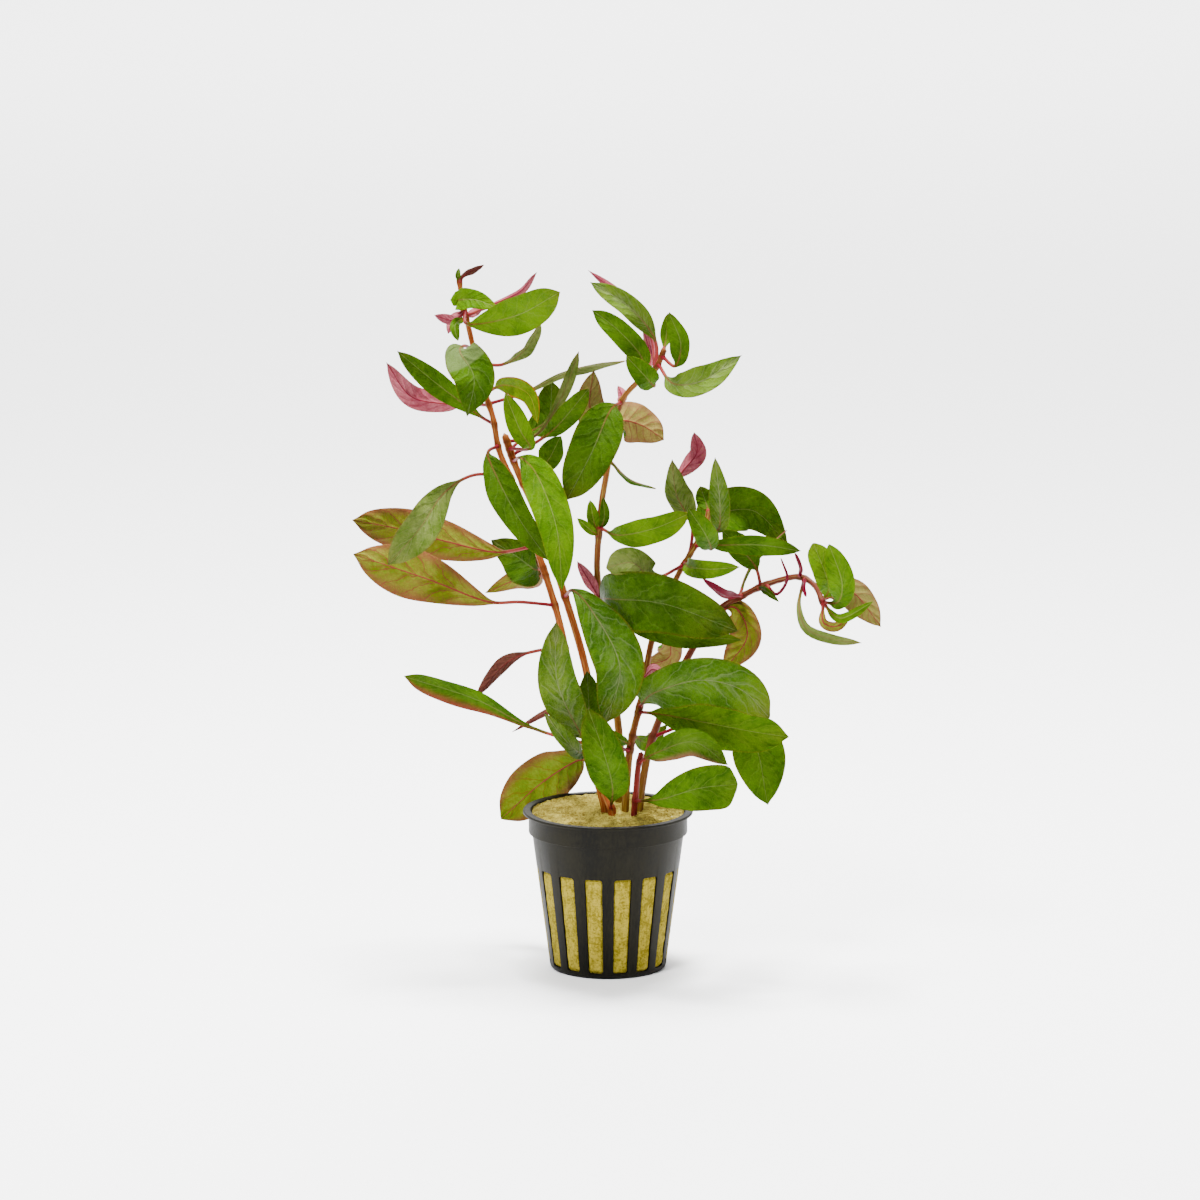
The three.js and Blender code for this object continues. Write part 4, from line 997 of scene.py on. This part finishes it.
def leaf_rows(length, petiole, width, taper, blade_rows):
    """The rows of a leaf: their shares of its path, and as columns the way along (-1 at the stem,
    0 where the blade starts, 1 at the tip), the outline, half the width, half the thickness, and
    how flat the section is. Both halves are the petiole's radius on it, flared at the stem, and
    on the blade the width follows the outline and the thickness falls to the blade's own."""
    stalk = np.linspace(0, 1, PETIOLE_ROWS, endpoint=False)
    blade = np.linspace(0, 1, blade_rows)
    blade = (1 - np.cos(math.pi * blade)) / 4 + blade / 2
    shares = np.concatenate([stalk * petiole, petiole + blade * (1 - petiole)])
    along = np.concatenate([stalk - 1, blade])
    on_blade = along >= 0
    outline = np.where(on_blade, blade_outline(np.clip(along, 0, 1), taper), 0)
    flare = 1 + FLARE * np.exp(-((shares * length / FLARE_REACH) ** 2))
    stalk_radius = PETIOLE_RADIUS * np.where(on_blade, 1 - along, flare)
    half_width = np.hypot(outline * width / 2, stalk_radius)
    half_width[-1] = BLADE_TIP_HALF_WIDTH
    flatness = np.clip(along / FLAT_FROM, 0, 1)
    flatness = flatness * flatness * (3 - 2 * flatness)
    half_thick = PETIOLE_RADIUS + (BLADE_HALF_THICKNESS - PETIOLE_RADIUS) * flatness
    half_thick = np.where(on_blade, half_thick, stalk_radius) * np.where(along > 0.98, 0.4, 1)
    columns = (along, outline, half_width, half_thick, flatness)
    return shares, [column[:, None] for column in columns]


def add_leaf(name, stem, places, petiole, width, roll, fold, curl, taper, upper, under, seed,
             blade_rows=BLADE_ROWS):
    """A leaf: a closed section carried along the path. It is round on the petiole; on the blade it
    is a thin plate, folded along the midrib and curled at its edges, with a sunken midrib above
    and a raised one below, arched between its side veins, and wavy at its edges."""
    rng = np.random.default_rng(seed)
    tip_blush = rng.uniform(0.0, 0.3)
    path = leaf_path(stem, places)
    shares, columns = leaf_rows(path.length, petiole, width, taper, blade_rows)
    along, outline, half_width, half_thick, flatness = columns
    turn = np.radians(roll) + rng.uniform(-0.12, 0.12) * np.clip(along[:, 0], 0, 1)

    across = ACROSS[None, :]
    outward = np.abs(across)
    reach = across * half_width
    lift = np.radians(fold + curl * outward / 2) * outline
    order = along * VEIN_PAIRS - VEIN_SLANT * outward**VEIN_BEND
    arching = -ARCH_HEIGHT * np.cos(2 * math.pi * order) * np.clip(outward * 4, 0, 1)
    arching = arching * (1 - outward**4) * np.clip(width / 12, 0.2, 1.0)
    ripple_count = rng.uniform(1.6, 3.2, 2)
    ripple_start = rng.uniform(0, 2 * math.pi, 2)
    half = (across > 0).astype(int)
    ripple = np.sin(along * ripple_count[half] * 2 * math.pi + ripple_start[half])
    ripple = ripple * across**2 * EDGE_WAVE * width * outline
    swell = EDGE_SWELL * np.sin(along * 9 + rng.uniform(0, 6)) * outward * half_width
    lateral = reach * np.cos(lift) + np.sign(across) * swell * flatness
    rise = np.abs(reach) * np.sin(lift) + (arching + ripple) * flatness
    plate = half_thick * np.sqrt(np.clip(1 - outward ** (2 + 6 * flatness), 0, 1))
    rib = flatness * np.clip(1.15 - along, 0, 1)
    groove = GROOVE_DEPTH * rib * np.exp(-((reach / GROOVE_REACH) ** 2))
    keel = KEEL_DEPTH * rib * np.exp(-((reach / KEEL_REACH) ** 2))

    def around(above, below):
        """The values across the upper side, and back across the underside."""
        return np.concatenate([above, below[:, -2:0:-1]], axis=1)

    rings = carried(path, shares, turn, around(lateral, lateral),
                    around(rise + (plate - groove), rise - (plate + keel)))
    points, quads, triangles = closed_tube(rings, [rings[0].mean(axis=0), rings[-1].mean(axis=0)])
    is_under = np.arange(len(AROUND)) >= len(ACROSS) - 1
    on_stalk = np.arange(len(shares) - 1)[:, None] < PETIOLE_ROWS
    finish_of_face = np.concatenate([np.where(on_stalk, 2, is_under).ravel(),
                                     np.full(len(AROUND), 2), is_under])
    blush = np.where(along < 0, 0.5, 0.5 * np.exp(-((along / 0.05) ** 2)) + tip_blush * along**8)
    attributes = {
        "across": tube_values(rings, AROUND),
        "along": tube_values(rings, along, (-1, 1)),
        "reach": tube_values(rings, AROUND * half_width),
        "way": tube_values(rings, shares[:, None] * path.length) + VEINS_APART * seed,
        "tone": np.full(len(points), rng.uniform(-0.25, 0.25)),
        "size": np.full(len(points), np.clip(width / 14, 0.15, 1.0)),
        "blush": tube_values(rings, blush),
    }
    piece = new_piece(name, points, quads, triangles, (upper, under, "petiole_red"), attributes,
                      finish_of_face)
    piece.data.set_sharp_from_angle(angle=SHARP_EDGE)
    return piece


def numbered(table):
    """Each row of a table as its stem, its number on that stem and the rest of the row."""
    counts = dict.fromkeys(STEMS, 0)
    for stem, *row in table:
        counts[stem] += 1
        yield stem, counts[stem], row


def leaf_slot(roll):
    """The material slot of a leaf: red where it shows the viewer its underside."""
    return "leaf_red" if abs(roll) > 90 else "leaf_green"


def add_leaves():
    """Every larger leaf, each in its own node's place."""
    for seed, (stem, number, shape) in enumerate(numbered(LEAVES), LEAF_SEED):
        leaf = add_leaf(f"blade_{stem}_{number}", stem, *shape, seed=seed)
        attach(leaf, f"leaf_{stem}_{number}", leaf_slot(roll=shape[3]))


def add_leaflets():
    """Every small leaf, each in its stem's place."""
    for seed, (stem, number, shape) in enumerate(numbered(LEAFLETS), LEAFLET_SEED):
        places, width, roll, taper, upper, under = shape
        leaf = add_leaf(f"leaflet_{stem}_{number}", stem, places, width=width, roll=roll,
                        taper=taper, upper=upper, under=under, seed=seed,
                        blade_rows=NARROW_ROWS if width < NARROW_LEAFLET else BLADE_ROWS,
                        **LEAFLET)
        attach(leaf, f"stem_{stem}", leaf_slot(roll))


# Stems

def add_stem(stem):
    """A stem: a circle carried along its path, with five shallow lengthwise ridges, and a swollen
    ring at each place where a leaf grows."""
    path = STEM_PATHS[stem]
    rng = np.random.default_rng(len(stem))
    rows = int(path.length / STEM_ROW_LENGTH)
    shares = np.linspace(0, 1, rows)
    foot, tip = STEMS[stem]["radii"]
    radius = foot + (tip - foot) * shares
    nodes = np.array(NODE_SHARES[stem])[:, None]
    swelling = np.exp(-(((shares - nodes) * path.length / NODE_REACH) ** 2)).max(axis=0)
    angle = round_angles(STEM_SIDES)
    ridges = 1 + RIDGE_HEIGHT * np.cos(RIDGE_COUNT * angle + RIDGE_TWIST * shares[:, None])
    bumps = 1 + BUMP_HEIGHT * rng.normal(size=(rows, 1))
    out = (radius * (1 + NODE_SWELLING * swelling))[:, None] * ridges * bumps
    rings = carried(path, shares, np.zeros(rows), np.cos(angle) * out, np.sin(angle) * out)
    ends = [path.points[0], path.points[-1] + path.tangents(shares)[-1] * tip]
    attributes = {
        "along": tube_values(rings, shares[:, None], (0, 1)),
        "node": tube_values(rings, swelling[:, None]),
        "way": tube_values(rings, shares[:, None] * path.length, (0, path.length)),
        "beside": tube_values(rings, np.cos(angle)),
        "facing": tube_values(rings, np.sin(angle)),
    }
    stalk = new_piece(f"stalk_{stem}", *closed_tube(rings, ends), (STEMS[stem]["finish"],),
                      attributes)
    attach(stalk, f"stem_{stem}", "stem")


# Net pot

def inner_radius(z):
    """The inside's radius below the collar: the wall's cone, less its thickness."""
    top = POT_HEIGHT - POT_COLLAR_HEIGHT
    return POT_FOOT_RADIUS - POT_WALL + (POT_TOP_RADIUS - POT_FOOT_RADIUS) * z / top


def lathe_points(profile, segments):
    """The profile's points turned about the pot's axis in equal steps."""
    profile = np.asarray(profile)
    angle = round_angles(segments)
    x = profile[:, :1] * np.cos(angle)
    y = profile[:, :1] * np.sin(angle)
    z = np.repeat(profile[:, 1:], segments, axis=1)
    return np.stack([x, y, z], axis=-1)


def rounded(corner, start, end, radius, steps=4):
    """A corner of a profile as an arc-like curve between the points a radius away from it."""
    corner, start, end = (np.asarray(p, dtype=float) for p in (corner, start, end))
    a = corner + (start - corner) / np.linalg.norm(start - corner) * radius
    b = corner + (end - corner) / np.linalg.norm(end - corner) * radius
    t = np.linspace(0, 1, steps)[:, None]
    return ((1 - t) ** 2 * a + 2 * t * (1 - t) * corner + t**2 * b).tolist()


def pot_profile():
    """The section of the cup from the middle of its underside, up outside and down inside."""
    body_top = POT_HEIGHT - POT_COLLAR_HEIGHT
    inside = POT_COLLAR_RADIUS - POT_WALL
    under_rim = POT_HEIGHT - POT_RIM_THICKNESS
    corners = [
        ((POT_FOOT_RADIUS, 0), POT_FOOT_ROUNDING),
        ((POT_TOP_RADIUS, body_top - 0.2), 0.15),
        ((POT_COLLAR_RADIUS, body_top), 0.2),
        ((POT_COLLAR_RADIUS, under_rim), 0.3),
        ((POT_RIM_RADIUS, under_rim), 0.3),
        ((POT_RIM_RADIUS, POT_HEIGHT), 0.35),
        ((inside, POT_HEIGHT), 0.35),
        ((inside, body_top + POT_WALL), 0.3),
        ((inner_radius(body_top), body_top), 0.3),
        ((inner_radius(POT_FLOOR), POT_FLOOR), 0.8),
    ]
    ends = [(0.0, 0.0)] + [c for c, _ in corners] + [(0.0, POT_FLOOR)]
    profile = []
    for i, (corner, radius) in enumerate(corners):
        profile += rounded(corner, ends[i], ends[i + 2], radius)
    return profile


def slot_cutter(middle):
    """A rounded upright slot, the same angle wide at each radius: its outline in angle and height,
    a quarter turn at each corner, drawn at an inner and an outer radius."""
    half = math.radians(SLOT_DEGREES / 2)
    mean_radius = (POT_FOOT_RADIUS + POT_TOP_RADIUS) / 2
    rounding = np.array([SLOT_ROUNDING / mean_radius, SLOT_ROUNDING])
    corners = np.array([(half, SLOT_HEAD_Z), (-half, SLOT_HEAD_Z), (-half, SLOT_FOOT_Z),
                        (half, SLOT_FOOT_Z)])
    inward = np.array([(-1, -1), (1, -1), (1, 1), (-1, 1)])
    turn = np.linspace(0, math.pi / 2, 6) + np.arange(4)[:, None] * math.pi / 2
    arcs = unit_vectors(turn) * rounding
    angle, height = ((corners + inward * rounding)[:, None, :] + arcs).reshape(-1, 2).T
    angle = angle + middle
    return np.stack([np.stack([r * np.cos(angle), r * np.sin(angle), height], axis=-1)
                     for r in SLOT_CUT_RADII])


def drain_cutter(middle):
    """A short round plug through the floor."""
    angle = round_angles(DRAIN_SIDES)
    x = DRAIN_CIRCLE_RADIUS * math.cos(middle) + DRAIN_RADIUS * np.cos(angle)
    y = DRAIN_CIRCLE_RADIUS * math.sin(middle) + DRAIN_RADIUS * np.sin(angle)
    return np.stack([np.stack([x, y, np.full_like(x, z)], axis=-1) for z in DRAIN_CUT_HEIGHTS])


def flip_outwards(mesh):
    """Turns every face of a closed mesh outwards."""
    work = bmesh.new()
    work.from_mesh(mesh)
    bmesh.ops.recalc_face_normals(work, faces=work.faces)
    work.to_mesh(mesh)
    work.free()


def new_cutter(name, rings):
    """A prism between two rings of points, with its ends closed."""
    count = rings.shape[1]
    points = (rings.reshape(-1, 3) * MM).tolist()
    faces = grid_faces(2, count).tolist()
    faces += [list(range(count)), list(range(2 * count - 1, count - 1, -1))]
    mesh = bpy.data.meshes.new(name)
    mesh.from_pydata(points, [], faces)
    flip_outwards(mesh)
    return bpy.data.objects.new(name, mesh)


def apply_modifiers(piece):
    """Replaces a piece's mesh by what its modifiers make of it."""
    view = bpy.context.evaluated_depsgraph_get()
    mesh = bpy.data.meshes.new_from_object(piece.evaluated_get(view))
    piece.modifiers.clear()
    piece.data = mesh


def add_pot():
    """The cup: its section turned about the axis, with the slots and drain holes cut out of it and
    its edges rounded."""
    shell = lathe_points(pot_profile(), POT_SEGMENTS)
    tube = closed_tube(shell, [[0, 0, 0], [0, 0, POT_FLOOR]], turned=True)
    pot = new_piece("slotted_pot", *tube, ("pot",))
    flip_outwards(pot.data)

    cutters = [slot_cutter((i + 0.5) * SLOT_STEP - math.pi / 2) for i in range(SLOT_COUNT)]
    cutters += [drain_cutter(2 * math.pi * i / DRAIN_COUNT) for i in range(DRAIN_COUNT)]
    cutters = [new_cutter(f"pot_cutter_{i}", rings) for i, rings in enumerate(cutters)]
    tools = bpy.data.collections.new("pot_cutters")
    bpy.context.scene.collection.children.link(tools)
    for cutter in cutters:
        tools.objects.link(cutter)
    cut = pot.modifiers.new("holes", "BOOLEAN")
    cut.operation = "DIFFERENCE"
    cut.operand_type = "COLLECTION"
    cut.collection = tools
    cut.solver = "EXACT"
    edge = pot.modifiers.new("edges", "BEVEL")
    edge.width = POT_EDGE_ROUNDING * MM
    edge.segments = 2
    edge.limit_method = "ANGLE"
    edge.angle_limit = math.radians(50)
    apply_modifiers(pot)
    for cutter in cutters:
        bpy.data.objects.remove(cutter)
    bpy.data.collections.remove(tools)
    pot.data.shade_smooth()
    pot.data.set_sharp_from_angle(angle=math.radians(35))
    attach(pot, "net_pot", "pot_plastic")


# Rockwool

def wool_dome(radius, edge):
    """The height of the wool's top: a paraboloid that rises from its edge to its crown."""
    return WOOL_EDGE_Z + (WOOL_CROWN_Z - WOOL_EDGE_Z) * (1 - (radius / edge) ** 2)


def add_wool():
    """The plug: the pot's inside turned about its axis, bulging a little into each slot, lumpy on
    its sides, and lumpy with small pits on its domed top."""
    rng = np.random.default_rng(WOOL_SEED)
    body_top = POT_HEIGHT - POT_COLLAR_HEIGHT
    inside = POT_COLLAR_RADIUS - POT_WALL - WOOL_COLLAR_GAP
    foot = POT_FLOOR + WOOL_WALL_GAP
    floor_r = np.linspace(0.15, inner_radius(foot) - 0.6, 12)
    side_z = np.linspace(foot, body_top, 90)
    collar_z = np.linspace(body_top + POT_WALL, WOOL_EDGE_Z - 0.8, 10)
    top_r = np.linspace(inside - 0.3, 0.15, 84)
    stretches = [(floor_r, np.full_like(floor_r, foot)),
                 (inner_radius(side_z) - WOOL_WALL_GAP, side_z),
                 (np.full_like(collar_z, inside), collar_z),
                 (top_r, wool_dome(top_r, inside))]
    floor, side, collar, top = range(4)
    stretch = np.repeat([floor, side, collar, top], [len(z) for _, z in stretches])[:, None]
    points = lathe_points(np.concatenate(stretches, axis=1).T, WOOL_SEGMENTS)

    angle = round_angles(WOOL_SEGMENTS)
    from_slot = np.abs((angle + math.pi / 2) % SLOT_STEP - SLOT_STEP / 2)
    in_slot = np.clip((1 - from_slot / math.radians(SLOT_DEGREES / 2)) * 5, 0, 1)
    z = points[..., 2]
    upright = np.clip(z - SLOT_FOOT_Z, 0, 1) * np.clip(SLOT_HEAD_Z - z, 0, 1)
    lumps = waves(points, rng, 24, 5.0) * 0.5 + waves(points, rng, 30, 1.6) * 0.35
    threads = waves(points * np.array([1.0, 1.0, 0.22]), rng, 40, 0.9) * 0.22
    bulge = (stretch == side) * upright * in_slot * (WOOL_BULGE + 0.26 * lumps + threads)
    points[..., :2] += unit_vectors(angle) * bulge[..., None]

    from_wall = np.clip((inside - np.hypot(points[..., 0], points[..., 1])) / 1.5, 0, 1)
    pits = waves(points, rng, 36, 2.4) * 0.32 + waves(points, rng, 40, 1.0) * 0.2
    coarse = waves(points, rng, 16, 9.0) * 0.35
    points[..., 2] += (stretch == top) * (coarse + pits * (0.4 + 0.6 * from_wall) + 0.15)

    ends = [points[0].mean(axis=0), points[-1].mean(axis=0)]
    wool = new_piece("wool_plug", *closed_tube(points, ends, turned=True), ("wool",))
    flip_outwards(wool.data)
    attach(wool, "rockwool", "mineral_wool")


def add_fibres():
    """Loose fibres on the wool's top: each a three-sided thread along a parabola that starts at a
    random place and direction and lies on the dome."""
    rng = np.random.default_rng(FIBRE_SEED)
    count = FIBRE_COUNT
    inside = POT_COLLAR_RADIUS - POT_WALL - FIBRE_COLLAR_GAP
    start = inside * np.sqrt(rng.uniform(0, 1, count))[:, None]
    start = start * unit_vectors(rng.uniform(0, 2 * math.pi, count))
    ahead = unit_vectors(rng.uniform(0, 2 * math.pi, count))
    length = rng.uniform(*FIBRE_LENGTHS, count)
    bend = rng.uniform(-0.5, 0.5, count)
    t = np.linspace(-0.5, 0.5, FIBRE_STEPS)[None, :]
    aside = np.stack([-ahead[:, 1], ahead[:, 0]], axis=-1)
    flat = (start[:, None, :] + ahead[:, None, :] * (t * length[:, None])[..., None]
            + aside[:, None, :] * (t**2 * (bend * length)[:, None])[..., None])
    distance = np.linalg.norm(flat, axis=-1)
    flat = flat * np.minimum(1, inside / np.maximum(distance, 0.01))[..., None]
    lift = rng.uniform(*FIBRE_LIFTS, count)[:, None] * (1 - (t * 2) ** 2) + 0.2
    z = wool_dome(np.minimum(distance, inside), inside) + lift
    middle = np.concatenate([flat, z[..., None]], axis=-1)
    thin_at_ends = np.where(np.abs(t) > 0.45, 0.3, 1)[..., None]
    thick = rng.uniform(*FIBRE_RADII, count)[:, None, None] * thin_at_ends
    across = np.concatenate([aside, np.zeros((count, 1))], axis=-1)[:, None, :]
    above = np.array([0.0, 0.0, 1.4])
    rings = np.stack([middle + across * thick, middle - across * thick, middle + above * thick],
                     axis=2)
    base = (np.arange(count) * FIBRE_STEPS * 3)[:, None]
    quads = (base[..., None] + grid_faces(FIBRE_STEPS, 3)).reshape(-1, 4)
    triangles = np.vstack([base + [0, 1, 2], base + (FIBRE_STEPS - 1) * 3 + [2, 1, 0]])
    fibres = new_piece("wool_fibres", rings.reshape(-1, 3), quads, triangles, ("fibre",))
    flip_outwards(fibres.data)
    attach(fibres, "rockwool", "mineral_wool")


add_camera()
add_stage()
add_leaves()
add_leaflets()
for stem_name in STEMS:
    add_stem(stem_name)
add_pot()
add_wool()
add_fibres()
